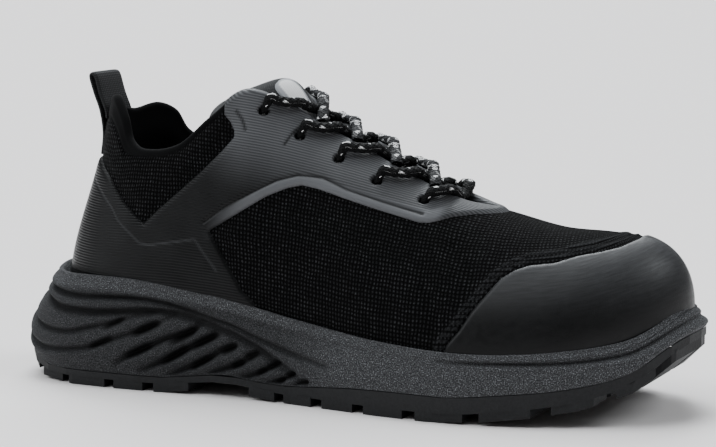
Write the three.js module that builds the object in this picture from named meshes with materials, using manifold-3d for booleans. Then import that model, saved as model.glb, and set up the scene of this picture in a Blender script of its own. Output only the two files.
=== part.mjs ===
// Low-cut safety sneaker for the right foot, in millimetres.
// +X points to the toe, +Y to the inner (medial) side, +Z up; the tread stands on Z = 0.
import * as THREE from "three";
import { mergeVertices } from "three/addons/utils/BufferGeometryUtils.js";
import Module from "manifold-3d";

const wasm = await Module();
wasm.setup();

// Driving sizes
const soleLength = 305; // heel to toe over the sole
const ballWidth = 112; // sole at the ball
const heelStack = 45; // ground to the midsole rim, beside the heel
const ballStack = 27; // ground to the midsole rim, beside the ball
const heelFloor = 31; // ground to the footbed floor, under the heel
const ballFloor = 18; // ground to the footbed floor, under the ball
const toeSpring = 26; // rise of the tread at the tip of the toe
const heelBevel = 10; // rise of the tread at the back of the heel
const archRise = 2.6; // rise of the tread under the waist
const lugDepth = 3.6; // height of the tread lugs
const plateThickness = 6.6; // outsole above the lugs, at the ball
const heelFlare = 15; // how far the midsole stands out past its rim, at the back
const lastLength = 274; // upper at the feather line
const lastWidth = 99; // upper at the ball
const lastSetback = 22; // back of the upper from the back of the sole
const heelHeight = 89; // footbed floor to the top of the heel
const instepHeight = 95; // footbed floor to the top of the eyestay
const toeSwing = 4; // shift of the toe's tip towards the inner side
const wall = 2.2; // upper's layers at the vamp
const collarPad = 4.5; // what the padding adds to the wall at the collar
const overlayThickness = 0.9; // moulded film of the quarter and of the toe cap
const insoleThickness = 4.5;
const tonguePad = 5;
const laceRadius = 2.3;
const eyeletRadius = 2.9;
const strapWidth = 22; // pull loop's strap
const strapThickness = 1.8;
const loopHeight = 16; // pull loop above the dip of the heel's top
const gap = 0.3; // clearance between neighbouring pieces

const halfBall = ballWidth / 2;
const halfLast = lastWidth / 2;
const outerSide = -1;
const innerSide = 1;

// Half widths change sign past the heel and the toe; every other column is the same on both sides.
const mirroredColumns = new Set(["outer", "inner"]);

// Smooth value of a column at a place, with the rows mirrored past both ends.
function column(rows, name, at) {
  const last = rows.length - 1;
  const sign = mirroredColumns.has(name) ? -1 : 1;
  const place = (i) => (i < 0 ? -rows[-i].at : i > last ? 2 - rows[2 * last - i].at : rows[i].at);
  const value = (i) =>
    i < 0 ? sign * rows[-i][name] : i > last ? sign * rows[2 * last - i][name] : rows[i][name];
  let k = 0;
  while (k < last - 1 && at > rows[k + 1].at) k += 1;
  const slope = (i) => (value(i + 1) - value(i - 1)) / (place(i + 1) - place(i - 1));
  const span = place(k + 1) - place(k);
  const t = (at - place(k)) / span;
  const t2 = t * t;
  const t3 = t2 * t;
  return (
    (2 * t3 - 3 * t2 + 1) * value(k) +
    (t3 - 2 * t2 + t) * span * slope(k) +
    (3 * t2 - 2 * t3) * value(k + 1) +
    (t3 - t2) * span * slope(k + 1)
  );
}

// Widest line of the sole. at: share of the way from heel to toe along the edge; along: share of the
// sole's length; outer, inner: half widths as shares of half the ball's width; flare: share of heelFlare.
const soleRows = [
  { at: 0, along: 0.004, outer: 0, inner: 0, flare: 1 },
  { at: 0.05, along: 0.017, outer: 0.33, inner: 0.33, flare: 0.95 },
  { at: 0.1, along: 0.05, outer: 0.6, inner: 0.59, flare: 0.8 },
  { at: 0.16, along: 0.112, outer: 0.775, inner: 0.75, flare: 0.62 },
  { at: 0.25, along: 0.216, outer: 0.82, inner: 0.775, flare: 0.5 },
  { at: 0.36, along: 0.344, outer: 0.79, inner: 0.7, flare: 0.4 },
  { at: 0.47, along: 0.47, outer: 0.81, inner: 0.67, flare: 0.32 },
  { at: 0.58, along: 0.597, outer: 0.925, inner: 0.8, flare: 0.26 },
  { at: 0.69, along: 0.725, outer: 0.99, inner: 0.93, flare: 0.24 },
  { at: 0.79, along: 0.84, outer: 0.89, inner: 0.875, flare: 0.26 },
  { at: 0.88, along: 0.932, outer: 0.65, inner: 0.655, flare: 0.32 },
  { at: 0.94, along: 0.976, outer: 0.37, inner: 0.38, flare: 0.38 },
  { at: 1, along: 0.991, outer: 0, inner: 0, flare: 0.4 },
];

// Rim of the midsole, as shares of the heel's stack, the ball's stack and the toe spring.
const rimRows = [
  { at: 0, heel: 1.04, ball: 0, toe: 0 },
  { at: 0.06, heel: 1.03, ball: 0, toe: 0 },
  { at: 0.12, heel: 1.01, ball: 0, toe: 0 },
  { at: 0.25, heel: 1.01, ball: 0, toe: 0 },
  { at: 0.36, heel: 0.8, ball: 0.18, toe: 0 },
  { at: 0.47, heel: 0.43, ball: 0.53, toe: 0 },
  { at: 0.58, heel: 0.12, ball: 0.87, toe: 0 },
  { at: 0.69, heel: 0, ball: 1, toe: 0 },
  { at: 0.79, heel: 0, ball: 1, toe: 0.07 },
  { at: 0.88, heel: 0, ball: 1, toe: 0.24 },
  { at: 1, heel: 0, ball: 1, toe: 0.7 },
];

// Along the length: bevel, arch and toe are shares of the rises that lift the tread; plate is a share of
// plateThickness; floor goes from 1 at the heel's floor to 0 at the ball's; lift is a share of toeSpring.
const groundRows = [
  { at: 0, bevel: 1, arch: 0, toe: 0, plate: 0.4, floor: 1, lift: 0 },
  { at: 0.03, bevel: 0.5, arch: 0, toe: 0, plate: 0.4, floor: 1, lift: 0 },
  { at: 0.07, bevel: 0.12, arch: 0, toe: 0, plate: 0.4, floor: 1, lift: 0 },
  { at: 0.11, bevel: 0, arch: 0, toe: 0, plate: 0.4, floor: 1, lift: 0 },
  { at: 0.27, bevel: 0, arch: 0, toe: 0, plate: 0.4, floor: 0.98, lift: 0 },
  { at: 0.32, bevel: 0, arch: 0.6, toe: 0, plate: 0.4, floor: 0.9, lift: 0 },
  { at: 0.37, bevel: 0, arch: 1, toe: 0, plate: 0.45, floor: 0.78, lift: 0 },
  { at: 0.42, bevel: 0, arch: 0.42, toe: 0, plate: 0.45, floor: 0.62, lift: 0 },
  { at: 0.47, bevel: 0, arch: 0, toe: 0, plate: 0.55, floor: 0.46, lift: 0 },
  { at: 0.58, bevel: 0, arch: 0, toe: 0, plate: 0.95, floor: 0.15, lift: 0 },
  { at: 0.7, bevel: 0, arch: 0, toe: 0, plate: 1, floor: 0, lift: 0 },
  { at: 0.78, bevel: 0, arch: 0, toe: 0.1, plate: 0.95, floor: 0, lift: 0.04 },
  { at: 0.86, bevel: 0, arch: 0, toe: 0.24, plate: 0.85, floor: 0, lift: 0.18 },
  { at: 0.93, bevel: 0, arch: 0, toe: 0.5, plate: 0.7, floor: 0, lift: 0.42 },
  { at: 1, bevel: 0, arch: 0, toe: 1.08, plate: 0.5, floor: 0, lift: 0.7 },
];

// Upper at the feather line (foot). along: share of the last's length; outer, inner: half widths as
// shares of half the last's width; stand: control point of the wall's foot, as a share of its height.
const lastRows = [
  { at: 0, along: 0, outer: 0, inner: 0, stand: 0.3 },
  { at: 0.05, along: 0.011, outer: 0.29, inner: 0.29, stand: 0.3 },
  { at: 0.1, along: 0.042, outer: 0.51, inner: 0.5, stand: 0.3 },
  { at: 0.16, along: 0.1, outer: 0.66, inner: 0.645, stand: 0.32 },
  { at: 0.25, along: 0.205, outer: 0.72, inner: 0.69, stand: 0.34 },
  { at: 0.36, along: 0.332, outer: 0.725, inner: 0.64, stand: 0.38 },
  { at: 0.47, along: 0.456, outer: 0.78, inner: 0.64, stand: 0.42 },
  { at: 0.58, along: 0.584, outer: 0.915, inner: 0.79, stand: 0.44 },
  { at: 0.69, along: 0.712, outer: 0.995, inner: 0.94, stand: 0.46 },
  { at: 0.79, along: 0.828, outer: 0.92, inner: 0.9, stand: 0.5 },
  { at: 0.88, along: 0.923, outer: 0.67, inner: 0.67, stand: 0.55 },
  { at: 0.94, along: 0.976, outer: 0.375, inner: 0.385, stand: 0.6 },
  { at: 1, along: 1, outer: 0, inner: 0, stand: 0.6 },
];
const footBulge = 3.6; // how far the wall swells past the feather line

// Upper along its top: the collar, the edge of the throat, then the ridge of the toe box. Half widths as
// above; byHeel, byInstep: heights as shares of the heel's and the instep's; reach, drop: control point
// of the wall's top, as shares of its width and height; crown: rise of the tongue's middle, in shares of
// tonguePad; low: how much lower the inner side's collar is, as a share of the heel's height.
const topRows = [
  { at: 0, along: 0.06, outer: 0, inner: 0, byHeel: 0.93, byInstep: 0, reach: 0.05, drop: 0.4, crown: 0, low: 0 },
  { at: 0.04, along: 0.07, outer: 0.19, inner: 0.19, byHeel: 0.975, byInstep: 0, reach: 0.1, drop: 0.4, crown: 0, low: 0.065 },
  { at: 0.08, along: 0.095, outer: 0.38, inner: 0.38, byHeel: 0.995, byInstep: 0, reach: 0.12, drop: 0.38, crown: 0, low: 0.06 },
  { at: 0.115, along: 0.12, outer: 0.5, inner: 0.5, byHeel: 0.91, byInstep: 0, reach: 0.15, drop: 0.36, crown: 0, low: 0.015 },
  { at: 0.15, along: 0.138, outer: 0.56, inner: 0.56, byHeel: 0.8, byInstep: 0, reach: 0.18, drop: 0.35, crown: 0, low: 0 },
  { at: 0.2, along: 0.17, outer: 0.61, inner: 0.61, byHeel: 0.755, byInstep: 0, reach: 0.2, drop: 0.33, crown: 0, low: 0 },
  { at: 0.27, along: 0.23, outer: 0.62, inner: 0.6, byHeel: 0.5, byInstep: 0.27, reach: 0.22, drop: 0.32, crown: 1.7, low: 0 },
  { at: 0.33, along: 0.28, outer: 0.56, inner: 0.54, byHeel: 0.25, byInstep: 0.63, reach: 0.35, drop: 0.26, crown: 1.85, low: 0 },
  { at: 0.38, along: 0.33, outer: 0.43, inner: 0.41, byHeel: 0.05, byInstep: 0.93, reach: 0.45, drop: 0.18, crown: 1.8, low: 0 },
  { at: 0.42, along: 0.38, outer: 0.27, inner: 0.26, byHeel: 0, byInstep: 0.937, reach: 0.5, drop: 0.13, crown: 1.5, low: 0 },
  { at: 0.47, along: 0.44, outer: 0.19, inner: 0.19, byHeel: 0, byInstep: 0.83, reach: 0.5, drop: 0.09, crown: 0.1, low: 0 },
  { at: 0.52, along: 0.5, outer: 0.18, inner: 0.18, byHeel: 0, byInstep: 0.752, reach: 0.5, drop: 0.08, crown: 0, low: 0 },
  { at: 0.58, along: 0.575, outer: 0.17, inner: 0.17, byHeel: 0, byInstep: 0.64, reach: 0.5, drop: 0.06, crown: 0, low: 0 },
  { at: 0.66, along: 0.665, outer: 0.14, inner: 0.14, byHeel: 0, byInstep: 0.532, reach: 0.5, drop: 0.03, crown: 0, low: 0 },
  { at: 0.7, along: 0.715, outer: 0, inner: 0, byHeel: 0, byInstep: 0.5, reach: 0.5, drop: 0, crown: 0, low: 0 },
  { at: 0.79, along: 0.8, outer: 0, inner: 0, byHeel: 0, byInstep: 0.44, reach: 0.55, drop: 0, crown: 0, low: 0 },
  { at: 0.86, along: 0.865, outer: 0, inner: 0, byHeel: 0, byInstep: 0.43, reach: 0.6, drop: 0, crown: 0, low: 0 },
  { at: 1, along: 0.9, outer: 0, inner: 0, byHeel: 0, byInstep: 0.42, reach: 0.78, drop: 0, crown: 0, low: 0 },
];
const throatEnd = 0.7; // place where the two sides meet in the ridge
const throatBottom = 0.67;

// Side of the midsole, from its bottom (0) to the rim (1): inset as a share of the flare there.
const wallRows = [
  { at: 0, inset: 0.1 },
  { at: 0.14, inset: 0 },
  { at: 0.34, inset: 0.13 },
  { at: 0.56, inset: 0.4 },
  { at: 0.76, inset: 0.66 },
  { at: 0.8, inset: 0.8 },
  { at: 0.86, inset: 0.76 },
  { at: 1, inset: 1 },
];

// Y of the line that the half widths are measured from: it swings inwards towards the toe.
function axisY(x) {
  return toeSwing * THREE.MathUtils.smoothstep(x, soleLength * 0.55, soleLength);
}

function alongSole(x) {
  return THREE.MathUtils.clamp(x / soleLength, 0, 1);
}

function treadZ(x) {
  const at = alongSole(x);
  return (
    heelBevel * Math.max(0, column(groundRows, "bevel", at)) +
    archRise * Math.max(0, column(groundRows, "arch", at)) +
    toeSpring * Math.max(0, column(groundRows, "toe", at))
  );
}

function plateTop(x) {
  return treadZ(x) + lugDepth + plateThickness * column(groundRows, "plate", alongSole(x));
}

function floorZ(x) {
  const at = alongSole(x);
  const share = column(groundRows, "floor", at);
  return ballFloor + (heelFloor - ballFloor) * share + toeSpring * column(groundRows, "lift", at);
}

function rimZ(at) {
  return (
    heelStack * column(rimRows, "heel", at) +
    ballStack * column(rimRows, "ball", at) +
    toeSpring * column(rimRows, "toe", at)
  );
}

// Point on the sole's widest line, in plan.
function soleEdge(at, side) {
  const x = soleLength * column(soleRows, "along", at);
  const half = halfBall * column(soleRows, side === outerSide ? "outer" : "inner", at);
  return new THREE.Vector2(x, axisY(x) + side * half);
}

// Outward normal of an edge in plan, by a small step along it.
function planNormal(edge, at, side) {
  if (at <= 0) return new THREE.Vector2(-1, 0);
  if (at >= 1) return new THREE.Vector2(1, 0);
  const step = 0.004;
  const ahead = edge(Math.min(at + step, 1), side);
  const behind = edge(Math.max(at - step, 0), side);
  const along = ahead.sub(behind).normalize();
  return new THREE.Vector2(-side * along.y, side * along.x);
}

// Value of a column by straight lines between the rows.
function straight(rows, name, at) {
  const t = THREE.MathUtils.clamp(at, 0, 1);
  let k = 0;
  while (k < rows.length - 2 && t > rows[k + 1].at) k += 1;
  const share = (t - rows[k].at) / (rows[k + 1].at - rows[k].at);
  return rows[k][name] + (rows[k + 1][name] - rows[k][name]) * share;
}

// Point on the midsole's side; level goes from its bottom (0) to the rim (1).
function soleSide(at, side, level) {
  const edge = soleEdge(at, side);
  const normal = planNormal(soleEdge, at, side);
  const flare = heelFlare * column(soleRows, "flare", at);
  const inset = flare * straight(wallRows, "inset", level);
  const bottom = plateTop(edge.x) + gap;
  return new THREE.Vector3(
    edge.x - normal.x * inset,
    edge.y - normal.y * inset,
    bottom + (rimZ(at) - bottom) * level,
  );
}

// Point on the upper's foot, the feather line, in plan.
function lastEdge(at, side) {
  const x = lastSetback + lastLength * column(lastRows, "along", at);
  const half = halfLast * column(lastRows, side === outerSide ? "outer" : "inner", at);
  return new THREE.Vector2(x, axisY(x) + side * half);
}

function topPoint(at, side) {
  const x = lastSetback + lastLength * column(topRows, "along", at);
  const share = at >= throatEnd ? 0 : column(topRows, side === outerSide ? "outer" : "inner", at);
  const low = side === innerSide ? column(topRows, "low", at) : 0;
  const byHeel = heelHeight * (column(topRows, "byHeel", at) - low);
  const z = heelFloor + byHeel + instepHeight * column(topRows, "byInstep", at);
  return new THREE.Vector3(x, axisY(x) + side * halfLast * Math.max(0, share), z);
}

// Outer surface of the upper: share goes up the wall from the feather line (0) to the top (1).
function upperPoint(at, side, share) {
  const edge = lastEdge(at, side);
  const foot = new THREE.Vector3(edge.x, edge.y, floorZ(edge.x));
  const top = topPoint(at, side);
  const normal = planNormal(lastEdge, at, side);
  const rise = top.z - foot.z;
  const back = new THREE.Vector3(foot.x - top.x, foot.y - top.y, 0);
  const reach = column(topRows, "reach", at);
  const drop = column(topRows, "drop", at) * rise;
  const control1 = foot.clone();
  control1.x += normal.x * footBulge;
  control1.y += normal.y * footBulge;
  control1.z += column(lastRows, "stand", at) * rise;
  const control2 = top.clone().addScaledVector(back, reach);
  control2.z -= drop;
  const u = 1 - share;
  return new THREE.Vector3()
    .addScaledVector(foot, u * u * u)
    .addScaledVector(control1, 3 * u * u * share)
    .addScaledVector(control2, 3 * u * share * share)
    .addScaledVector(top, share * share * share);
}

function upperNormal(at, side, share) {
  const step = 0.01;
  const behind = upperPoint(Math.max(at - step, 0), side, share);
  const along = upperPoint(Math.min(at + step, 1), side, share).sub(behind);
  if (at <= 0) along.set(0, side, 0);
  if (at >= 1) along.set(0, -side, 0);
  const low = upperPoint(at, side, Math.max(share - step, 0));
  const up = upperPoint(at, side, Math.min(share + step, 1)).sub(low);
  if (share >= 1 && at >= throatEnd) return new THREE.Vector3(0, 0, 1);
  const normal = along.cross(up).multiplyScalar(-side);
  return normal.lengthSq() > 0 ? normal.normalize() : new THREE.Vector3(0, 0, 1);
}

// The upper's outer surface moved out along its normal; the ridge stays in the middle.
function grownPoint(at, side, share, grow) {
  const point = upperPoint(at, side, share).addScaledVector(upperNormal(at, side, share), grow);
  if (share >= 1 && at >= throatEnd) point.y = axisY(point.x);
  return point;
}

// Thickness of the upper: the collar is padded, and thins out at its edge.
function thickness(at, share) {
  const smooth = THREE.MathUtils.smoothstep;
  const padded = 1 - smooth(at, 0.34, 0.44);
  return wall + collarPad * padded * smooth(share, 0.4, 0.75) * (1 - 0.55 * smooth(share, 0.88, 1));
}

// A closed triangle mesh as a solid.
function solidFrom(positions, triangles) {
  const geometry = new THREE.BufferGeometry();
  geometry.setAttribute("position", new THREE.Float32BufferAttribute(positions.flat(), 3));
  geometry.setIndex(triangles);
  return solidOf(geometry);
}

// A geometry with nothing but its positions and triangles.
function bareOf(geometry) {
  const bare = new THREE.BufferGeometry();
  bare.setAttribute("position", geometry.getAttribute("position"));
  bare.setIndex(geometry.index);
  return bare;
}

function solidOf(geometry) {
  const merged = mergeVertices(bareOf(geometry), 1e-3);
  const index = merged.index.array;
  const kept = [];
  for (let i = 0; i < index.length; i += 3) {
    const [a, b, c] = [index[i], index[i + 1], index[i + 2]];
    if (a !== b && b !== c && c !== a) kept.push(a, b, c);
  }
  return new wasm.Manifold(
    new wasm.Mesh({
      numProp: 3,
      vertProperties: merged.attributes.position.array,
      triVerts: new Uint32Array(kept),
    }),
  );
}

function meshOf(name, solid, material) {
  const data = solid.getMesh();
  const geometry = new THREE.BufferGeometry();
  geometry.setAttribute("position", new THREE.BufferAttribute(data.vertProperties, 3));
  geometry.setIndex(new THREE.BufferAttribute(data.triVerts, 1));
  const mesh = new THREE.Mesh(geometry, material);
  mesh.name = name;
  return mesh;
}

// The biggest of a solid's separate bodies.
function largest(solid) {
  const bodies = solid.decompose();
  return bodies.reduce((best, body) => (body.volume() > best.volume() ? body : best));
}

function shares(count) {
  return Array.from({ length: count + 1 }, (_, i) => i / count);
}

// A solid of rings that go once round the shoe. pointAt(at, side, level) gives a ring's points; the first
// and the last ring are closed by strips across the shoe, with a middle line raised by crown(at).
function ringSolid(places, levels, pointAt, crown = null) {
  const round = [
    ...places.map((at) => [at, outerSide]),
    ...places.slice(1, -1).reverse().map((at) => [at, innerSide]),
  ];
  const n = round.length;
  const positions = [];
  for (const level of levels) {
    for (const [at, side] of round) positions.push(pointAt(at, side, level).toArray());
  }
  const triangles = [];
  for (let k = 0; k + 1 < levels.length; k += 1) {
    for (let i = 0; i < n; i += 1) {
      const j = (i + 1) % n;
      const [a, b, c, d] = [k * n + i, k * n + j, (k + 1) * n + j, (k + 1) * n + i];
      triangles.push(a, b, c, a, c, d);
    }
  }
  const half = places.length - 1;
  const top = (levels.length - 1) * n;
  for (let i = 0; i < half; i += 1) {
    const [a, b, c, d] = [i, i + 1, (n - i - 1) % n, (n - i) % n];
    triangles.push(a, c, b);
    if (i > 0) triangles.push(a, d, c);
  }
  const across = crown ? [0, 0.2, 0.4, 0.6, 0.8, 1] : [0, 0.5, 1];
  const strips = across.map((share) =>
    places.map((at, i) => {
      const outer = top + i;
      const inner = top + ((n - i) % n);
      if (share === 0 || i === 0 || i === half) return outer;
      if (share === 1) return inner;
      const point = positions[outer].map((v, k) => v + (positions[inner][k] - v) * share);
      if (crown) point[2] += crown(at) * 4 * share * (1 - share);
      positions.push(point);
      return positions.length - 1;
    }),
  );
  for (let k = 0; k + 1 < strips.length; k += 1) {
    for (let i = 0; i < half; i += 1) {
      const [a, b, c, d] = [strips[k][i], strips[k][i + 1], strips[k + 1][i + 1], strips[k + 1][i]];
      if (b !== c) triangles.push(a, b, c);
      if (a !== d) triangles.push(a, c, d);
    }
  }
  return solidFrom(positions, triangles);
}

// Places along the edge, closer together where the outline turns.
const solePlaces = shares(30);
const lastPlaces = [...shares(30), 0.695].sort((a, b) => a - b);
const lastShares = [0, 0.18, 0.36, 0.55, 0.75, 0.88, 1];

// The filled form of the upper, grown along its normals. below: how far it reaches under the feather
// line; above: how far it stands over the opening of the collar and the throat.
function filledUpper(grow, below, above = 0, crown = null) {
  const depth = typeof grow === "function" ? grow : () => grow;
  const levels = [...(below > 0 ? [-1] : []), ...lastShares, ...(above > 0 ? [2] : [])];
  const pointAt = (at, side, level) => {
    const share = THREE.MathUtils.clamp(level, 0, 1);
    const point = grownPoint(at, side, share, depth(at, share));
    if (level < 0) point.z -= below;
    if (level > 1 && at <= throatBottom) point.z += above;
    return point;
  };
  return ringSolid(lastPlaces, levels, pointAt, crown);
}

// A prism through the whole shoe: its outline holds points along X and Z, or along X and Y if flat.
function prism(outline, flat = false) {
  const shape = new THREE.Shape(outline.map(([a, b]) => new THREE.Vector2(a, b)));
  const depth = 2 * soleLength;
  const geometry = new THREE.ExtrudeGeometry(shape, { depth, bevelEnabled: false });
  geometry.translate(0, 0, -depth / 2);
  if (!flat) geometry.rotateX(Math.PI / 2);
  return solidOf(geometry);
}

const plastic = (color, roughness) => new THREE.MeshStandardMaterial({ color, roughness, metalness: 0 });
const shoe = new THREE.Group();

// Outsole: a plate that follows the tread, with lugs cut from the layer under it.
const soleOutline = (at, side, z) => {
  const point = soleSide(at, side, 0);
  point.z = z(soleEdge(at, side).x);
  return point;
};
const plate = ringSolid(solePlaces, [0, 1], (at, side, level) =>
  soleOutline(at, side, (x) => (level ? plateTop(x) : treadZ(x) + lugDepth)),
);
const treadLayer = ringSolid(shares(17), [0, 1], (at, side, level) =>
  soleOutline(at, side, (x) => treadZ(x) + (level ? lugDepth + 0.5 : 0)),
);

// Rows of lugs, as shares of the sole's length.
const lugRows = [
  { from: 0.01, to: 0.055 },
  { from: 0.072, to: 0.112 },
  { from: 0.125, to: 0.185 },
  { from: 0.2, to: 0.245 },
  { from: 0.262, to: 0.315 },
  { from: 0.407, to: 0.446 },
  { from: 0.46, to: 0.503 },
  { from: 0.52, to: 0.568 },
  { from: 0.585, to: 0.643 },
  { from: 0.662, to: 0.728 },
  { from: 0.75, to: 0.815 },
  { from: 0.84, to: 0.89 },
  { from: 0.915, to: 1.01 },
];

// Lugs of a row, across the sole, as shares of half the ball's width.
const lugColumns = [
  { from: -1.1, to: -0.42 },
  { from: -0.32, to: 0.32 },
  { from: 0.42, to: 1.1 },
];
const lugs = [];
for (const row of lugRows) {
  for (const cell of lugColumns) {
    const slant = 0.012 * soleLength * (Math.abs(cell.from + cell.to) < 0.8 ? 1 : 0);
    const [x0, x1] = [row.from * soleLength, row.to * soleLength];
    const [y0, y1] = [cell.from * halfBall, cell.to * halfBall];
    const inward = Math.abs(y0) < Math.abs(y1) ? [slant, 0] : [0, slant];
    lugs.push(prism([[x0 + inward[0], y0], [x1 + inward[0], y0], [x1 + inward[1], y1], [x0 + inward[1], y1]], true));
  }
}
const outsole = plate.add(treadLayer.intersect(wasm.Manifold.union(lugs)));
shoe.add(meshOf("outsole", outsole, plastic(0x2b2d2e, 0.7)));

// Midsole: its block, hollowed for the upper, with grooves between the ribs of the heel's sides.
const midsoleBlock = ringSolid(solePlaces, wallRows.map((row) => row.at), soleSide);
const cup = filledUpper(gap, gap);

// Grooves, each a line of places along the edge and levels up the side; half width and depth in mm.
const grooveRows = [
  {
    width: 1.3,
    depth: 1.8,
    line: [[0.1, 0.68], [0.15, 0.64], [0.218, 0.62], [0.286, 0.7], [0.334, 0.7], [0.368, 0.63], [0.422, 0.51], [0.464, 0.26]],
  },
  { width: 1.1, depth: 1.6, line: [[0.14, 0.38], [0.172, 0.4], [0.202, 0.47], [0.236, 0.53], [0.262, 0.6]] },
  { width: 1.5, depth: 2.4, line: [[0.19, 0.23], [0.222, 0.32], [0.248, 0.4], [0.272, 0.48], [0.298, 0.6]] },
  { width: 1.6, depth: 2.6, line: [[0.24, 0.11], [0.28, 0.3], [0.304, 0.43], [0.336, 0.54]] },
  { width: 1.6, depth: 2.6, line: [[0.28, 0.09], [0.302, 0.18], [0.324, 0.28], [0.35, 0.42], [0.366, 0.49]] },
  { width: 1.4, depth: 2.2, line: [[0.322, 0.08], [0.342, 0.15], [0.364, 0.24], [0.384, 0.36], [0.396, 0.43]] },
  { width: 1.2, depth: 2, line: [[0.37, 0.07], [0.39, 0.14], [0.41, 0.26], [0.426, 0.36]] },
  { width: 1, depth: 1.6, line: [[0.41, 0.07], [0.428, 0.13], [0.446, 0.24]] },
];

// A groove's cutter: a wedge swept along its line, narrow at both ends.
function grooveCutter({ width, depth, line }, side) {
  const curve = new THREE.CatmullRomCurve3(line.map(([at, level]) => new THREE.Vector3(at, level, 0)));
  const count = 2 * (line.length - 1);
  const surface = (t) => {
    const place = curve.getPoint(THREE.MathUtils.clamp(t, 0, 1));
    return soleSide(place.x, side, place.y);
  };
  const positions = [];
  for (let i = 0; i <= count; i += 1) {
    const t = i / count;
    const place = curve.getPoint(t);
    const point = surface(t);
    const along = surface(t + 0.02).sub(surface(t - 0.02)).normalize();
    const up = soleSide(place.x, side, place.y + 0.02).sub(soleSide(place.x, side, place.y - 0.02));
    const edge = soleSide(place.x + 0.005, side, place.y).sub(soleSide(place.x - 0.005, side, place.y));
    const out = edge.cross(up).multiplyScalar(-side).normalize();
    const across = out.clone().cross(along);
    const swell = 0.35 + 0.65 * Math.sin(Math.PI * t) ** 0.6;
    const low = point.clone().addScaledVector(out, -depth * swell);
    const wide = width * swell * (1 + 1.2 / depth);
    const open = point.clone().addScaledVector(out, 1.2);
    positions.push(low.toArray());
    positions.push(open.clone().addScaledVector(across, wide).toArray());
    positions.push(open.clone().addScaledVector(across, -wide).toArray());
  }
  const triangles = [0, 2, 1];
  for (let i = 0; i < count; i += 1) {
    for (let k = 0; k < 3; k += 1) {
      const [a, b] = [i * 3 + k, i * 3 + ((k + 1) % 3)];
      triangles.push(a, b + 3, a + 3, a, b, b + 3);
    }
  }
  const end = count * 3;
  triangles.push(end, end + 1, end + 2);
  return solidFrom(positions, triangles);
}
const grooves = wasm.Manifold.union(
  grooveRows.flatMap((row) => [outerSide, innerSide].map((side) => grooveCutter(row, side))),
);
const midsole = midsoleBlock.subtract(cup).subtract(grooves);
shoe.add(meshOf("midsole", midsole, plastic(0x303334, 0.8)));

// Upper: the filled form less the foot's room, which opens the collar, the throat and the bottom.
const room = filledUpper((at, share) => -thickness(at, share), 5, 12);

// Eyelets, from the toe upwards: place along the edge, and share of the wall.
const eyeletRows = [
  { at: 0.615, share: 0.825 },
  { at: 0.552, share: 0.8 },
  { at: 0.5, share: 0.81 },
  { at: 0.445, share: 0.825 },
  { at: 0.4, share: 0.89 },
];
const upwards = new THREE.Vector3(0, 1, 0);
function eyeletHole(row, side, radius) {
  const depth = 8 * wall;
  const geometry = new THREE.CylinderGeometry(radius, radius, depth, 10);
  const normal = upperNormal(row.at, side, row.share);
  geometry.applyQuaternion(new THREE.Quaternion().setFromUnitVectors(upwards, normal));
  const middle = upperPoint(row.at, side, row.share);
  geometry.translate(middle.x, middle.y, middle.z);
  return solidOf(geometry);
}
const eyeletHoles = (radius) =>
  wasm.Manifold.union(
    eyeletRows.flatMap((row) => [outerSide, innerSide].map((side) => eyeletHole(row, side, radius))),
  );
const eyelets = eyeletHoles(eyeletRadius);
const upper = filledUpper(0, 0).subtract(room).subtract(eyelets);
shoe.add(meshOf("upper", upper, plastic(0x17181a, 0.95)));

// Films over the upper: the layer between two forms, inside an outline seen from the side.
const collarTop = heelFloor + heelHeight;
const lastX = (share) => lastSetback + lastLength * share;
const sideOutline = (rows) => prism(rows.map((row) => [lastX(row.along), row.up * collarTop]));
const opening = filledUpper(-wall * 0.6, 5, 12);
const raisedMidsole = midsoleBlock.translate([0, 0, gap]).add(midsoleBlock.translate([gap, 0, 0]));
const film = filledUpper(gap + overlayThickness, 1)
  .subtract(filledUpper(gap, 3))
  .subtract(opening)
  .subtract(raisedMidsole);

// Quarter film: heel counter and eyestay in one. along: share of lastLength; up: share of collarTop.
const quarterOutline = [
  { along: -0.0692, up: 0.17 },
  { along: 0.3984, up: 0.2 },
  { along: 0.3705, up: 0.33 },
  { along: 0.3505, up: 0.367 },
  { along: 0.3327, up: 0.43 },
  { along: 0.3115, up: 0.503 },
  { along: 0.2926, up: 0.567 },
  { along: 0.3416, up: 0.635 },
  { along: 0.3817, up: 0.692 },
  { along: 0.4128, up: 0.722 },
  { along: 0.434, up: 0.732 },
  { along: 0.4596, up: 0.721 },
  { along: 0.4974, up: 0.698 },
  { along: 0.5486, up: 0.667 },
  { along: 0.5965, up: 0.64 },
  { along: 0.6221, up: 0.627 },
  { along: 0.6355, up: 0.625 },
  { along: 0.6655, up: 0.63 },
  { along: 0.7301, up: 0.63 },
  { along: 0.7301, up: 0.85 },
  { along: 0.4763, up: 1.25 },
  { along: 0.287, up: 1.25 },
  { along: 0.3015, up: 0.963 },
  { along: 0.3115, up: 0.941 },
  { along: 0.3193, up: 0.912 },
  { along: 0.3204, up: 0.888 },
  { along: 0.3026, up: 0.84 },
  { along: 0.2703, up: 0.768 },
  { along: 0.237, up: 0.702 },
  { along: 0.2024, up: 0.635 },
  { along: 0.1768, up: 0.58 },
  { along: 0.1601, up: 0.606 },
  { along: 0.139, up: 0.643 },
  { along: 0.1056, up: 0.724 },
  { along: 0.0755, up: 0.775 },
  { along: 0.0533, up: 0.787 },
  { along: -0.0692, up: 0.8 },
];
const quarterFilm = film.intersect(sideOutline(quarterOutline)).subtract(eyelets);
shoe.add(meshOf("quarter_overlay", quarterFilm, plastic(0x24272a, 0.45)));

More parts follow.
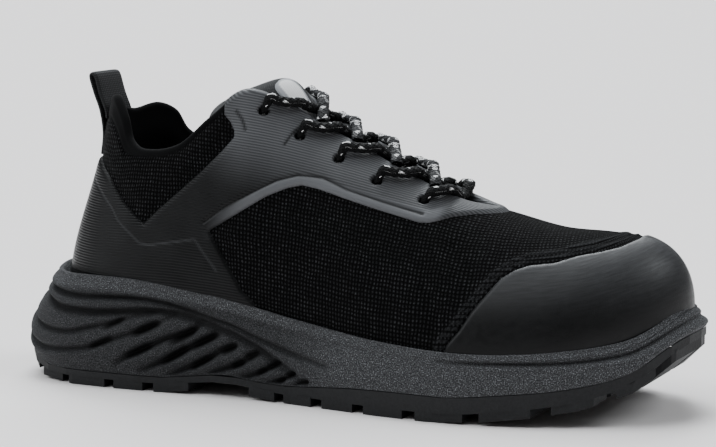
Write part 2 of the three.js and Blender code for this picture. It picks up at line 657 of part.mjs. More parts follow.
// Toe film, as seen from the side.
const toeOutline = [
  { along: 0.6878, up: 0.17 },
  { along: 0.6967, up: 0.25 },
  { along: 0.7145, up: 0.302 },
  { along: 0.729, up: 0.361 },
  { along: 0.7457, up: 0.416 },
  { along: 0.7612, up: 0.466 },
  { along: 0.7791, up: 0.494 },
  { along: 0.7969, up: 0.508 },
  { along: 0.8314, up: 0.517 },
  { along: 0.8614, up: 0.539 },
  { along: 0.887, up: 0.55 },
  { along: 0.9126, up: 0.564 },
  { along: 0.9293, up: 0.583 },
  { along: 0.9416, up: 0.75 },
  { along: 1.0885, up: 0.75 },
  { along: 1.0885, up: 0.17 },
];
const toeFilm = film.intersect(sideOutline(toeOutline));
shoe.add(meshOf("toe_overlay", toeFilm, plastic(0x232527, 0.6)));

// Insole, on the footbed floor inside the upper.
const insole = ringSolid(lastPlaces, [0, 1], (at, side, level) => {
  const edge = lastEdge(at, side).addScaledVector(planNormal(lastEdge, at, side), -(wall + 1));
  return new THREE.Vector3(edge.x, edge.y, floorZ(lastEdge(at, side).x) + level * insoleThickness);
});
shoe.add(meshOf("insole", insole, plastic(0x202224, 0.95)));

// Tongue: a padded sheet under the throat, arched between the eyestays. Outline in plan, in shares of
// lastLength and of half the last's width.
const crown = (at) => tonguePad * Math.max(0, column(topRows, "crown", at));
const tongueOutline = [
  { along: 0.2626, across: 0.4299 },
  { along: 0.2982, across: 0.4752 },
  { along: 0.3872, across: 0.4525 },
  { along: 0.5431, across: 0.4073 },
  { along: 0.6544, across: 0.3394 },
  { along: 0.6878, across: 0.2263 },
];
const tongueBack = [{ along: 0.2514, across: 0.2941 }, { along: 0.247, across: 0 }];
const tongueEdge = [...tongueOutline].reverse().concat(tongueBack);
const tongueShape = [
  ...tongueOutline.map((row) => [lastX(row.along), -row.across * halfLast]),
  ...tongueEdge.map((row) => [lastX(row.along), row.across * halfLast]),
  [lastX(tongueBack[0].along), -tongueBack[0].across * halfLast],
];
// Its side view, in shares of lastLength and of collarTop: the wings end under the eyestays.
const tongueSide = [
  { along: 0.2314, up: 0.86 },
  { along: 0.3872, up: 0.76 },
  { along: 0.5653, up: 0.6 },
  { along: 0.7434, up: 0.5 },
  { along: 0.7434, up: 0.9 },
  { along: 0.365, up: 1.3 },
  { along: 0.2314, up: 1.3 },
];
const lined = (more) => (at, share) => -thickness(at, share) - more;
const keptClear = filledUpper(gap, 1).subtract(filledUpper(lined(gap), 6, 16));
const tongueSheet = filledUpper(lined(gap), 0, 0, crown)
  .subtract(filledUpper(lined(gap + tonguePad), 8, 0, crown))
  .intersect(prism(tongueShape, true))
  .intersect(sideOutline(tongueSide))
  .subtract(keptClear);
const tongue = largest(tongueSheet);
shoe.add(meshOf("tongue", tongue, plastic(0x1d1f21, 0.9)));

// A flat strap swept along a path of X and Z in the shoe's middle plane; its edges are bent forwards.
function strap(path, width, depth) {
  const curve = new THREE.CatmullRomCurve3(path.map(([x, z]) => new THREE.Vector3(x, 0, z)));
  const bends = new THREE.CatmullRomCurve3(path.map(([x, z, bend]) => new THREE.Vector3(x, bend, z)));
  const count = 20;
  const corners = [[-1, -1], [1, -1], [1, 0], [1, 1], [-1, 1], [-1, 0]];
  const positions = [];
  for (let i = 0; i <= count; i += 1) {
    const point = curve.getPoint(i / count);
    const bend = bends.getPoint(i / count).y;
    const ahead = curve.getTangent(i / count);
    const out = new THREE.Vector3(-ahead.z, 0, ahead.x);
    for (const [a, b] of corners) {
      positions.push([
        point.x + (out.x * a * depth) / 2 + bend * b * b,
        (b * width) / 2,
        point.z + (out.z * a * depth) / 2,
      ]);
    }
  }
  const n = corners.length;
  const lid = (i, flip) => {
    const faces = [[0, 1, 2], [0, 2, 5], [5, 2, 3], [5, 3, 4]];
    return faces.flatMap(([a, b, c]) => (flip ? [i + a, i + c, i + b] : [i + a, i + b, i + c]));
  };
  const triangles = lid(0, false);
  for (let i = 0; i < count; i += 1) {
    for (let k = 0; k < n; k += 1) {
      const [a, b] = [i * n + k, i * n + ((k + 1) % n)];
      triangles.push(a, a + n, b + n, a, b + n, b);
    }
  }
  return solidFrom(positions, [...triangles, ...lid(count * n, true)]);
}

// Pull loop over the top of the heel: points along X and Z, and the bend round the heel there.
const heelTop = topPoint(0, outerSide);
const onHeel = (share, out, bend) => {
  const point = grownPoint(0, outerSide, share, gap + strapThickness / 2 + out);
  return [point.x, point.z, bend];
};
const loopPath = [
  onHeel(0.8, 0.1, 2.6),
  onHeel(0.9, 0.4, 2.2),
  [heelTop.x - 3, heelTop.z, 1.4],
  [heelTop.x - 4.8, heelTop.z + 0.5 * loopHeight, 0.2],
  [heelTop.x - 6.6, heelTop.z + 0.92 * loopHeight, 0],
  [heelTop.x - 5.4, heelTop.z + loopHeight, 0],
  [heelTop.x - 4, heelTop.z + 0.9 * loopHeight, 0],
  [heelTop.x - 2, heelTop.z + 0.45 * loopHeight, 0.2],
  [heelTop.x - 0.3, heelTop.z, 1.4],
  [heelTop.x - 0.2, heelTop.z - 3, 1.6],
];
const loop = largest(strap(loopPath, strapWidth, strapThickness).subtract(keptClear));
shoe.add(meshOf("pull_loop", loop, plastic(0x34373a, 0.7)));

// Highest surface of the pieces under the laces.
const ground = [upper, quarterFilm, tongue].map((solid) => meshOf("ground", solid, plastic(0, 1)));
for (const mesh of ground) mesh.material.side = THREE.DoubleSide;
const down = new THREE.Vector3(0, 0, -1);
function surfaceZ(x, y) {
  const caster = new THREE.Raycaster(new THREE.Vector3(x, y, 2 * collarTop), down);
  const hits = caster.intersectObjects(ground);
  return hits.length > 0 ? hits[0].point.z : 0;
}

// A lace over points in plan, each with its lift; it dives into the hole at its start, and into the far
// hole if there is one.
function lace(plan, from, to = null) {
  const reach = laceRadius + gap;
  const around = [[0, 0], [reach, 0], [-reach, 0], [0, reach], [0, -reach]];
  const over = new THREE.CatmullRomCurve3(plan.map(([x, y, lift]) => new THREE.Vector3(x, y, lift)));
  const points = over.getPoints(10).map((point) => {
    const below = Math.max(...around.map(([dx, dy]) => surfaceZ(point.x + dx, point.y + dy)));
    return new THREE.Vector3(point.x, point.y, below + reach * 1.1 + point.z);
  });
  const kept = to ? points.slice(1, -1) : points.slice(1);
  const path = [from.hole, ...kept, ...(to ? [to.hole] : [])];
  return solidOf(capped(new THREE.CatmullRomCurve3(path), 12, laceRadius, 6));
}

// A tube with closed ends.
function capped(curve, segments, radius, sides) {
  const tube = new THREE.TubeGeometry(curve, segments, radius, sides, false);
  const merged = mergeVertices(bareOf(tube), 1e-4);
  const positions = Array.from(merged.attributes.position.array);
  const triangles = Array.from(merged.index.array);
  for (const [t, first] of [[0, true], [1, false]]) {
    const centre = curve.getPointAt(t);
    const ring = [];
    for (let i = 0; i < positions.length; i += 3) {
      const point = new THREE.Vector3(positions[i], positions[i + 1], positions[i + 2]);
      if (Math.abs(point.distanceTo(centre) - radius) < 1e-3) ring.push([i / 3, point]);
    }
    const ahead = curve.getTangentAt(t).multiplyScalar(first ? -1 : 1);
    const side = ring[0][1].clone().sub(centre).normalize();
    const other = ahead.clone().cross(side);
    const angle = ([, point]) => {
      const arm = point.clone().sub(centre);
      return Math.atan2(arm.dot(other), arm.dot(side));
    };
    ring.sort((a, b) => angle(a) - angle(b));
    const hub = positions.length / 3;
    positions.push(centre.x, centre.y, centre.z);
    for (let k = 0; k < ring.length; k += 1) {
      triangles.push(hub, ring[k][0], ring[(k + 1) % ring.length][0]);
    }
  }
  const closed = new THREE.BufferGeometry();
  closed.setAttribute("position", new THREE.Float32BufferAttribute(positions, 3));
  closed.setIndex(triangles);
  return closed;
}

function eyeletAt(row, side) {
  const middle = grownPoint(row.at, side, row.share, gap + overlayThickness);
  const normal = upperNormal(row.at, side, row.share);
  const hole = middle.clone().addScaledVector(normal, -1.4);
  return { x: middle.x, y: middle.y, z: middle.z, hole };
}

// Crossing laces bow towards the toe: ahead of the eyelet, as a share of lastLength, and the share of its
// distance across.
const crossing = [
  { ahead: 0, across: 1 },
  { ahead: 0.0365, across: 0.72 },
  { ahead: 0.0493, across: 0.42 },
  { ahead: 0.0602, across: 0.1 },
  { ahead: 0.0693, across: -0.2 },
];
const bar = [
  { ahead: 0, across: 1 },
  { ahead: 0.0237, across: 0.7 },
  { ahead: 0.031, across: 0.25 },
  { ahead: 0.0328, across: -0.25 },
  { ahead: 0.0255, across: -0.7 },
  { ahead: 0, across: -1 },
];

// The path of a lace in plan; its lift grows towards the shoe's middle.
function planOf(rows, eyelet, side, lift) {
  const half = Math.abs(eyelet.y - axisY(eyelet.x));
  return rows.map((row) => {
    const raised = lift * Math.max(0, 1 - Math.abs(row.across) / 0.6);
    return [eyelet.x + row.ahead * lastLength, axisY(eyelet.x) + side * row.across * half, raised];
  });
}

// The laces lie on the eyestays, so the side against them is pressed flat.
const eyestays = filledUpper(2 * gap + overlayThickness, 1)
  .subtract(filledUpper(lined(gap), 6, 16))
  .subtract(eyeletHoles(eyeletRadius - gap));

const first = eyeletAt(eyeletRows[0], outerSide);
const laceSolids = [lace(planOf(bar, first, outerSide, 0), first, eyeletAt(eyeletRows[0], innerSide))];
for (const row of eyeletRows.slice(1)) {
  const [outer, inner] = [outerSide, innerSide].map((side) => eyeletAt(row, side));
  const under = lace(planOf(crossing, outer, outerSide, 0), outer);
  const over = lace(planOf(crossing, inner, innerSide, 1.2 * laceRadius), inner);
  laceSolids.push(over.add(under));
}
laceSolids.forEach((solid, i) => {
  laceSolids[i] = largest(solid.subtract(eyestays));
});
laceSolids.forEach((solid, i) => {
  const name = i === 0 ? "lace_bar_1" : `lace_cross_${i + 1}`;
  shoe.add(meshOf(name, solid, plastic(0x141516, 0.85)));
});

// Origin at the middle of the shoe's box, on the ground.
const box = new THREE.Box3().setFromObject(shoe);
shoe.position.set(-(box.min.x + box.max.x) / 2, -(box.min.y + box.max.y) / 2, -box.min.z);

export default shoe;
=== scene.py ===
"""Low-cut safety sneaker for the right foot: its surfaces, in millimetres from the heel of the sole."""
import math

import bpy
import numpy as np
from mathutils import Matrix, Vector
from mathutils.bvhtree import BVHTree


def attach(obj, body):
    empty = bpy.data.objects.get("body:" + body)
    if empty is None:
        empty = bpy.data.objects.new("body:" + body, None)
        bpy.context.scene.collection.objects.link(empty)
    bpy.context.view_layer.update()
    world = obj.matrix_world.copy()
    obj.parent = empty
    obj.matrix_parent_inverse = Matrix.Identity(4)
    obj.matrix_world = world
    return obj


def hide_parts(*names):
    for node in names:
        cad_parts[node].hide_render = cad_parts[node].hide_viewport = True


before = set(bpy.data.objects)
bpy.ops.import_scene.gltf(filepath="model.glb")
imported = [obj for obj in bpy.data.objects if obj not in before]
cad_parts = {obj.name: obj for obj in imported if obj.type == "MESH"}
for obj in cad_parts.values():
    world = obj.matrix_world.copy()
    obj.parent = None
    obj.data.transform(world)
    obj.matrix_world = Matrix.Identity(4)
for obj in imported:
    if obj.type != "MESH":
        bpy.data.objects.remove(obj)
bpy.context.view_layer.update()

# Sizes in millimetres, as in the solids
SOLE_LENGTH = 305
BALL_WIDTH = 112
HEEL_STACK = 45
BALL_STACK = 27
HEEL_FLOOR = 31
BALL_FLOOR = 18
TOE_SPRING = 26
HEEL_BEVEL = 10
ARCH_RISE = 2.6
LUG_DEPTH = 3.6
PLATE = 6.6
HEEL_FLARE = 15
LAST_LENGTH = 274
LAST_WIDTH = 99
LAST_SETBACK = 22
HEEL_HEIGHT = 89
INSTEP_HEIGHT = 95
TOE_SWING = 4
WALL = 2.2
COLLAR_PAD = 4.5
FILM = 0.9
TONGUE_PAD = 5
TONGUE_BACK = 89.8
TONGUE_FRONT = 209
LABEL_PLACE = 134
LABEL_REACH = 13
LACE_RADIUS = 2.3
HOLE_CORE = 1.5
HOLE_EDGE = 2.5
HOLE_DEPTH = 3
STRAP_WIDTH = 22
STRAP_THICKNESS = 1.8
LOOP_HEIGHT = 16
FOOT_BULGE = 3.6
GAP = 0.3
THROAT_END = 0.7
KNIT_ROW = 1.72
KNIT_STITCH = 1.62
FILM_RIB = 1.15
SEWN_LINES = (1.7, 3.7)
STITCH_LENGTH = 2.6
BRAID = 1.1
COLLAR_TOP = HEEL_FLOOR + HEEL_HEIGHT
SHIFT = np.array([-151.7375, 0.1624, 0.0])  # from the heel of the sole to the shoe's origin
OUTER = -1
INNER = 1


def table(names, *rows):
    values = np.array(rows, float)
    return {name: values[:, i] for i, name in enumerate(names.split())}


# Tables along the edge of the sole and of the upper; at goes from the heel to the toe.
SOLE = table(
    "at along outer inner flare",
    (0, 0.004, 0, 0, 1),
    (0.05, 0.017, 0.33, 0.33, 0.95),
    (0.1, 0.05, 0.6, 0.59, 0.8),
    (0.16, 0.112, 0.775, 0.75, 0.62),
    (0.25, 0.216, 0.82, 0.775, 0.5),
    (0.36, 0.344, 0.79, 0.7, 0.4),
    (0.47, 0.47, 0.81, 0.67, 0.32),
    (0.58, 0.597, 0.925, 0.8, 0.26),
    (0.69, 0.725, 0.99, 0.93, 0.24),
    (0.79, 0.84, 0.89, 0.875, 0.26),
    (0.88, 0.932, 0.65, 0.655, 0.32),
    (0.94, 0.976, 0.37, 0.38, 0.38),
    (1, 0.991, 0, 0, 0.4),
)
RIM = table(
    "at heel ball toe",
    (0, 1.04, 0, 0),
    (0.06, 1.03, 0, 0),
    (0.12, 1.01, 0, 0),
    (0.25, 1.01, 0, 0),
    (0.36, 0.8, 0.18, 0),
    (0.47, 0.43, 0.53, 0),
    (0.58, 0.12, 0.87, 0),
    (0.69, 0, 1, 0),
    (0.79, 0, 1, 0.07),
    (0.88, 0, 1, 0.24),
    (1, 0, 1, 0.7),
)
GROUND = table(
    "at bevel arch toe plate floor lift",
    (0, 1, 0, 0, 0.4, 1, 0),
    (0.03, 0.5, 0, 0, 0.4, 1, 0),
    (0.07, 0.12, 0, 0, 0.4, 1, 0),
    (0.11, 0, 0, 0, 0.4, 1, 0),
    (0.27, 0, 0, 0, 0.4, 0.98, 0),
    (0.32, 0, 0.6, 0, 0.4, 0.9, 0),
    (0.37, 0, 1, 0, 0.45, 0.78, 0),
    (0.42, 0, 0.42, 0, 0.45, 0.62, 0),
    (0.47, 0, 0, 0, 0.55, 0.46, 0),
    (0.58, 0, 0, 0, 0.95, 0.15, 0),
    (0.7, 0, 0, 0, 1, 0, 0),
    (0.78, 0, 0, 0.1, 0.95, 0, 0.04),
    (0.86, 0, 0, 0.24, 0.85, 0, 0.18),
    (0.93, 0, 0, 0.5, 0.7, 0, 0.42),
    (1, 0, 0, 1.08, 0.5, 0, 0.7),
)
LAST = table(
    "at along outer inner stand",
    (0, 0, 0, 0, 0.3),
    (0.05, 0.011, 0.29, 0.29, 0.3),
    (0.1, 0.042, 0.51, 0.5, 0.3),
    (0.16, 0.1, 0.66, 0.645, 0.32),
    (0.25, 0.205, 0.72, 0.69, 0.34),
    (0.36, 0.332, 0.725, 0.64, 0.38),
    (0.47, 0.456, 0.78, 0.64, 0.42),
    (0.58, 0.584, 0.915, 0.79, 0.44),
    (0.69, 0.712, 0.995, 0.94, 0.46),
    (0.79, 0.828, 0.92, 0.9, 0.5),
    (0.88, 0.923, 0.67, 0.67, 0.55),
    (0.94, 0.976, 0.375, 0.385, 0.6),
    (1, 1, 0, 0, 0.6),
)
TOP = table(
    "at along outer inner byHeel byInstep reach drop crown low",
    (0, 0.06, 0, 0, 0.93, 0, 0.05, 0.4, 0, 0),
    (0.04, 0.07, 0.19, 0.19, 0.975, 0, 0.1, 0.4, 0, 0.065),
    (0.08, 0.095, 0.38, 0.38, 0.995, 0, 0.12, 0.38, 0, 0.06),
    (0.115, 0.12, 0.5, 0.5, 0.91, 0, 0.15, 0.36, 0, 0.015),
    (0.15, 0.138, 0.56, 0.56, 0.8, 0, 0.18, 0.35, 0, 0),
    (0.2, 0.17, 0.61, 0.61, 0.755, 0, 0.2, 0.33, 0, 0),
    (0.27, 0.23, 0.62, 0.6, 0.5, 0.27, 0.22, 0.32, 1.7, 0),
    (0.33, 0.28, 0.56, 0.54, 0.25, 0.63, 0.35, 0.26, 1.85, 0),
    (0.38, 0.33, 0.43, 0.41, 0.05, 0.93, 0.45, 0.18, 1.8, 0),
    (0.42, 0.38, 0.27, 0.26, 0, 0.937, 0.5, 0.13, 1.5, 0),
    (0.47, 0.44, 0.19, 0.19, 0, 0.83, 0.5, 0.09, 0.1, 0),
    (0.52, 0.5, 0.18, 0.18, 0, 0.752, 0.5, 0.08, 0, 0),
    (0.58, 0.575, 0.17, 0.17, 0, 0.64, 0.5, 0.06, 0, 0),
    (0.66, 0.665, 0.14, 0.14, 0, 0.532, 0.5, 0.03, 0, 0),
    (0.7, 0.715, 0, 0, 0, 0.5, 0.5, 0, 0, 0),
    (0.79, 0.8, 0, 0, 0, 0.44, 0.55, 0, 0, 0),
    (0.86, 0.865, 0, 0, 0, 0.43, 0.6, 0, 0, 0),
    (1, 0.9, 0, 0, 0, 0.42, 0.78, 0, 0, 0),
)
WALLS = table(
    "at inset",
    (0, 0.1),
    (0.14, 0),
    (0.34, 0.13),
    (0.56, 0.4),
    (0.76, 0.66),
    (0.8, 0.8),
    (0.86, 0.76),
    (1, 1),
)


def column(rows, name, at):
    """Smooth value of a column, with the rows mirrored past both ends."""
    sign = -1 if name in ("outer", "inner") else 1
    places, values = rows["at"], rows[name]
    x = np.concatenate([[-places[1]], places, [2 - places[-2]]])
    y = np.concatenate([[sign * values[1]], values, [sign * values[-2]]])
    slope = (y[2:] - y[:-2]) / (x[2:] - x[:-2])
    at = np.asarray(at, float)
    k = np.clip(np.searchsorted(places, at) - 1, 0, len(places) - 2)
    span = places[k + 1] - places[k]
    t = (at - places[k]) / span
    t2 = t * t
    t3 = t2 * t
    return (
        (2 * t3 - 3 * t2 + 1) * values[k]
        + (t3 - 2 * t2 + t) * span * slope[k]
        + (3 * t2 - 2 * t3) * values[k + 1]
        + (t3 - t2) * span * slope[k + 1]
    )


def smooth(x, low, high):
    t = np.clip((x - low) / (high - low), 0, 1)
    return t * t * (3 - 2 * t)


def bell(distance, width):
    return np.exp(-((distance / width) ** 2))


def axis_y(x):
    return TOE_SWING * smooth(x, SOLE_LENGTH * 0.55, SOLE_LENGTH)


def tread_z(x):
    at = np.clip(x / SOLE_LENGTH, 0, 1)
    rises = (("bevel", HEEL_BEVEL), ("arch", ARCH_RISE), ("toe", TOE_SPRING))
    return sum(rise * np.maximum(0, column(GROUND, name, at)) for name, rise in rises)


def plate_top(x):
    return tread_z(x) + LUG_DEPTH + PLATE * column(GROUND, "plate", np.clip(x / SOLE_LENGTH, 0, 1))


def floor_z(x):
    at = np.clip(x / SOLE_LENGTH, 0, 1)
    share = column(GROUND, "floor", at)
    return BALL_FLOOR + (HEEL_FLOOR - BALL_FLOOR) * share + TOE_SPRING * column(GROUND, "lift", at)


def rim_z(at):
    stacks = (("heel", HEEL_STACK), ("ball", BALL_STACK), ("toe", TOE_SPRING))
    return sum(stack * column(RIM, name, at) for name, stack in stacks)


def half_width(rows, at, side):
    return np.where(side < 0, column(rows, "outer", at), column(rows, "inner", at))


def sole_edge(at, side):
    x = SOLE_LENGTH * column(SOLE, "along", at)
    return x, axis_y(x) + side * BALL_WIDTH / 2 * half_width(SOLE, at, side)


def last_edge(at, side):
    x = LAST_SETBACK + LAST_LENGTH * column(LAST, "along", at)
    return x, axis_y(x) + side * LAST_WIDTH / 2 * half_width(LAST, at, side)


def plan_normal(edge, at, side):
    """Outward normal of an edge in plan."""
    step = 0.004
    x1, y1 = edge(np.minimum(at + step, 1), side)
    x0, y0 = edge(np.maximum(at - step, 0), side)
    length = np.hypot(x1 - x0, y1 - y0)
    nx, ny = -side * (y1 - y0) / length, side * (x1 - x0) / length
    nx = np.where(at <= 0, -1.0, np.where(at >= 1, 1.0, nx))
    ny = np.where((at <= 0) | (at >= 1), 0.0, ny)
    return nx, ny


def points(*parts):
    return np.stack(np.broadcast_arrays(*parts), -1).astype(float)


def unit(v):
    length = np.linalg.norm(v, axis=-1, keepdims=True)
    return v / np.maximum(length, 1e-9)


def sole_side(at, side, level):
    """Point on the midsole's side, from its bottom (0) to the rim (1)."""
    x, y = sole_edge(at, side)
    nx, ny = plan_normal(sole_edge, at, side)
    flare = HEEL_FLARE * column(SOLE, "flare", at)
    inset = flare * column(WALLS, "inset", np.clip(level, 0, 1))
    bottom = plate_top(x) + GAP
    return points(x - nx * inset, y - ny * inset, bottom + (rim_z(at) - bottom) * level)


def top_point(at, side):
    x = LAST_SETBACK + LAST_LENGTH * column(TOP, "along", at)
    share = np.where(at >= THROAT_END, 0, np.maximum(0, half_width(TOP, at, side)))
    low = np.where(side > 0, column(TOP, "low", at), 0)
    by_heel = HEEL_HEIGHT * (column(TOP, "byHeel", at) - low)
    z = HEEL_FLOOR + by_heel + INSTEP_HEIGHT * column(TOP, "byInstep", at)
    return points(x, axis_y(x) + side * LAST_WIDTH / 2 * share, z)


def upper_point(at, side, share):
    """Outer surface of the upper, from the feather line (0) up to the top (1)."""
    at, side, share = np.broadcast_arrays(np.asarray(at, float), side, share)
    x, y = last_edge(at, side)
    foot = points(x, y, floor_z(x))
    top = top_point(at, side)
    nx, ny = plan_normal(last_edge, at, side)
    rise = top[..., 2] - foot[..., 2]
    reach = column(TOP, "reach", at)
    control1 = foot + points(nx * FOOT_BULGE, ny * FOOT_BULGE, column(LAST, "stand", at) * rise)
    back = foot - top
    control2 = top + points(back[..., 0] * reach, back[..., 1] * reach, -column(TOP, "drop", at) * rise)
    t = share[..., None]
    u = 1 - t
    return u**3 * foot + 3 * u * u * t * control1 + 3 * u * t * t * control2 + t**3 * top


def upper_normal(at, side, share):
    at, side, share = np.broadcast_arrays(np.asarray(at, float), side, share)
    step = 0.01
    ahead = upper_point(np.minimum(at + step, 1), side, share)
    behind = upper_point(np.maximum(at - step, 0), side, share)
    along = ahead - behind
    straight = points(0 * at, side + 0 * at, 0 * at)
    along = np.where((at <= 0)[..., None], straight, along)
    along = np.where((at >= 1)[..., None], -straight, along)
    above = upper_point(at, side, np.minimum(share + step, 1))
    below = upper_point(at, side, np.maximum(share - step, 0))
    up = above - below
    normal = unit(np.cross(along, up) * -side[..., None])
    ridge = (share >= 1) & (at >= THROAT_END)
    return np.where(ridge[..., None], np.array([0.0, 0.0, 1.0]), normal)


def grown(at, side, share, grow):
    """Outer surface moved out along its normal; the ridge stays in the middle."""
    at, side, share, grow = np.broadcast_arrays(np.asarray(at, float), side, share, grow)
    point = upper_point(at, side, share) + upper_normal(at, side, share) * grow[..., None]
    ridge = (share >= 1) & (at >= THROAT_END)
    point[..., 1] = np.where(ridge, axis_y(point[..., 0]), point[..., 1])
    return point


def thickness(at, share):
    padded = 1 - smooth(at, 0.34, 0.44)
    return WALL + COLLAR_PAD * padded * smooth(share, 0.4, 0.75) * (1 - 0.55 * smooth(share, 0.88, 1))


# Outlines seen from the side: shares of the last's length and of the collar's height
def side_outline(rows):
    rows = np.array(rows, float)
    return np.stack([LAST_SETBACK + LAST_LENGTH * rows[:, 0], COLLAR_TOP * rows[:, 1]], 1)


QUARTER = side_outline([
    (-0.0692, 0.17), (0.3984, 0.2), (0.3705, 0.33), (0.3505, 0.367), (0.3327, 0.43), (0.3115, 0.503),
    (0.2926, 0.567), (0.3416, 0.635), (0.3817, 0.692), (0.4128, 0.722), (0.434, 0.732), (0.4596, 0.721),
    (0.4974, 0.698), (0.5486, 0.667), (0.5965, 0.64), (0.6221, 0.627), (0.6355, 0.625), (0.6496, 0.632),
    (0.665, 0.643), (0.69, 0.648), (0.7301, 0.648), (0.7301, 0.85), (0.4763, 1.25), (0.287, 1.25),
    (0.3015, 0.963), (0.3115, 0.941), (0.3193, 0.912), (0.3204, 0.888), (0.3026, 0.84), (0.2703, 0.768),
    (0.237, 0.702), (0.2024, 0.635), (0.1768, 0.58), (0.1601, 0.606), (0.139, 0.643), (0.1056, 0.724),
    (0.0755, 0.775), (0.0533, 0.787), (-0.0692, 0.8),
])
TOE_CAP = side_outline([
    (0.6878, 0.17), (0.6967, 0.25), (0.7145, 0.302), (0.729, 0.361), (0.7457, 0.416), (0.7612, 0.466),
    (0.7791, 0.494), (0.7969, 0.508), (0.8314, 0.517), (0.8614, 0.539), (0.887, 0.55), (0.9126, 0.564),
    (0.9293, 0.583), (0.9416, 0.75), (1.0885, 0.75), (1.0885, 0.17),
])
# Lines moulded in the quarter's film, in millimetres along X and Z
BAND_LINE = np.array([
    (99.7, 71.4), (108.5, 78), (119.9, 84.2), (130.2, 89.5), (138.5, 91.6), (142.3, 91.4), (149.3, 90.7),
    (159.8, 86.7), (173.1, 82.9), (184.4, 79.9), (193, 77.7),
])
WINDOW_REST = [(213, 77), (213, 60), (123.6, 39.7), (102, 68)]
COUNTER_LINE = np.array([
    (37.8, 87.2), (46.1, 81), (53.6, 74.9), (57.8, 69.6), (63.8, 65.1), (69.3, 61.1), (73.9, 60.6),
    (86.2, 62.6), (95.6, 64.2), (100.4, 58.4), (106.2, 51.7),
])
# Eyelets, from the toe upwards: place along the edge and share of the wall
EYELETS = ((0.615, 0.825), (0.552, 0.8), (0.5, 0.81), (0.445, 0.825), (0.4, 0.89))

# Grooves of the midsole's side, as places along the edge and levels: width and depth in millimetres
GROOVES = (
    (1.0, 2.2, (
        (0, 0.82), (0.07, 0.81), (0.128, 0.8), (0.164, 0.78), (0.196, 0.78), (0.266, 0.82), (0.3, 0.82),
        (0.334, 0.77), (0.42, 0.62), (0.482, 0.47), (0.52, 0.36),
    )),
    (1.5, 3.0, (
        (0, 0.66), (0.06, 0.67), (0.1, 0.68), (0.15, 0.63), (0.218, 0.625), (0.286, 0.72), (0.314, 0.72),
        (0.334, 0.7), (0.368, 0.62), (0.422, 0.5), (0.464, 0.26), (0.49, 0.05),
    )),
    (1.1, 2.0, (
        (0, 0.41), (0.02, 0.4), (0.08, 0.37), (0.14, 0.39), (0.172, 0.4), (0.202, 0.47), (0.236, 0.55),
        (0.262, 0.63), (0.284, 0.68),
    )),
    (1.1, 1.9, (
        (0, 0.2), (0.06, 0.17), (0.12, 0.17), (0.19, 0.23), (0.222, 0.32), (0.248, 0.41), (0.272, 0.49),
        (0.296, 0.6), (0.314, 0.7),
    )),
    (1.3, 2.6, ((0.24, 0.1), (0.254, 0.2), (0.28, 0.31), (0.304, 0.43), (0.336, 0.53), (0.35, 0.64))),
    (1.3, 2.8, ((0.274, 0.06), (0.302, 0.18), (0.324, 0.28), (0.35, 0.42), (0.374, 0.52))),
    (1.3, 2.6, ((0.312, 0.03), (0.342, 0.13), (0.364, 0.23), (0.382, 0.37), (0.398, 0.46))),
    (1.2, 2.4, ((0.362, 0.02), (0.39, 0.12), (0.41, 0.27), (0.43, 0.42))),
    (1.1, 2.2, ((0.404, 0.01), (0.428, 0.13), (0.446, 0.27), (0.454, 0.34))),
    (1.0, 2.0, ((0.44, 0.01), (0.458, 0.08), (0.474, 0.2))),
    (0.9, 1.8, ((0.474, 0.01), (0.492, 0.08))),
    (0.8, 1.5, (
        (0.66, 0.84), (0.734, 0.8), (0.79, 0.74), (0.846, 0.68), (0.894, 0.6), (0.94, 0.5), (1, 0.46),
    )),
)
# Pits in the slanted grooves, painted near-black as shade: place, level, length and width in millimetres,
# depth
PITS = (
    (0.234, 0.53, 10, 2.2, 1.8),
    (0.218, 0.32, 11, 2.2, 1.8),
    (0.278, 0.52, 12, 3.2, 2.6),
    (0.27, 0.27, 12, 3.0, 2.4),
    (0.328, 0.48, 12, 3.6, 2.8),
    (0.318, 0.25, 12, 3.4, 2.4),
    (0.356, 0.45, 11, 3.2, 2.6),
    (0.352, 0.17, 10, 2.8, 2.2),
    (0.388, 0.37, 7, 2.8, 2.4),
    (0.4, 0.18, 6, 2.2, 2.0),
    (0.418, 0.37, 6, 2.6, 2.2),
    (0.432, 0.17, 5, 2.0, 1.8),
    (0.446, 0.27, 5, 2.4, 2.0),
    (0.458, 0.08, 4, 1.8, 1.4),
    (0.47, 0.17, 3.6, 2.0, 1.6),
    (0.492, 0.08, 2.6, 1.8, 1.4),
)
# Soft folds of the vamp: line in millimetres along X and Z, width and depth
FOLDS = (
    (np.array([(190, 70), (199, 58), (205, 45), (207, 36)]), 4.0, 0.9),
    (np.array([(209, 66), (217, 56), (222, 46), (224, 40)]), 3.4, 0.8),
    (np.array([(172, 66), (180, 54), (186, 43)]), 4.4, 0.5),
)
# Two fine lines pressed in the film beside the top eyelets
FINE_LINES = (
    np.array([(140.5, 116), (136, 112), (133, 108.5), (130.8, 103.5)]),
    np.array([(110, 117), (113, 113.5), (114.8, 109.5)]),
)


def segments_distance(line, x, z):
    """Distance from points to a polyline, and where along it, from 0 to 1."""
    best = np.full(x.shape, 1e9)
    where = np.zeros(x.shape)
    lengths = np.hypot(*(line[1:] - line[:-1]).T)
    starts = np.concatenate([[0], np.cumsum(lengths)])
    for i, (a, b) in enumerate(zip(line[:-1], line[1:])):
        ab = b - a
        t = np.clip(((x - a[0]) * ab[0] + (z - a[1]) * ab[1]) / (ab @ ab + 1e-12), 0, 1)
        d = np.hypot(x - a[0] - t * ab[0], z - a[1] - t * ab[1])
        nearer = d < best
        best = np.where(nearer, d, best)
        where = np.where(nearer, (starts[i] + t * lengths[i]) / starts[-1], where)
    return best, where


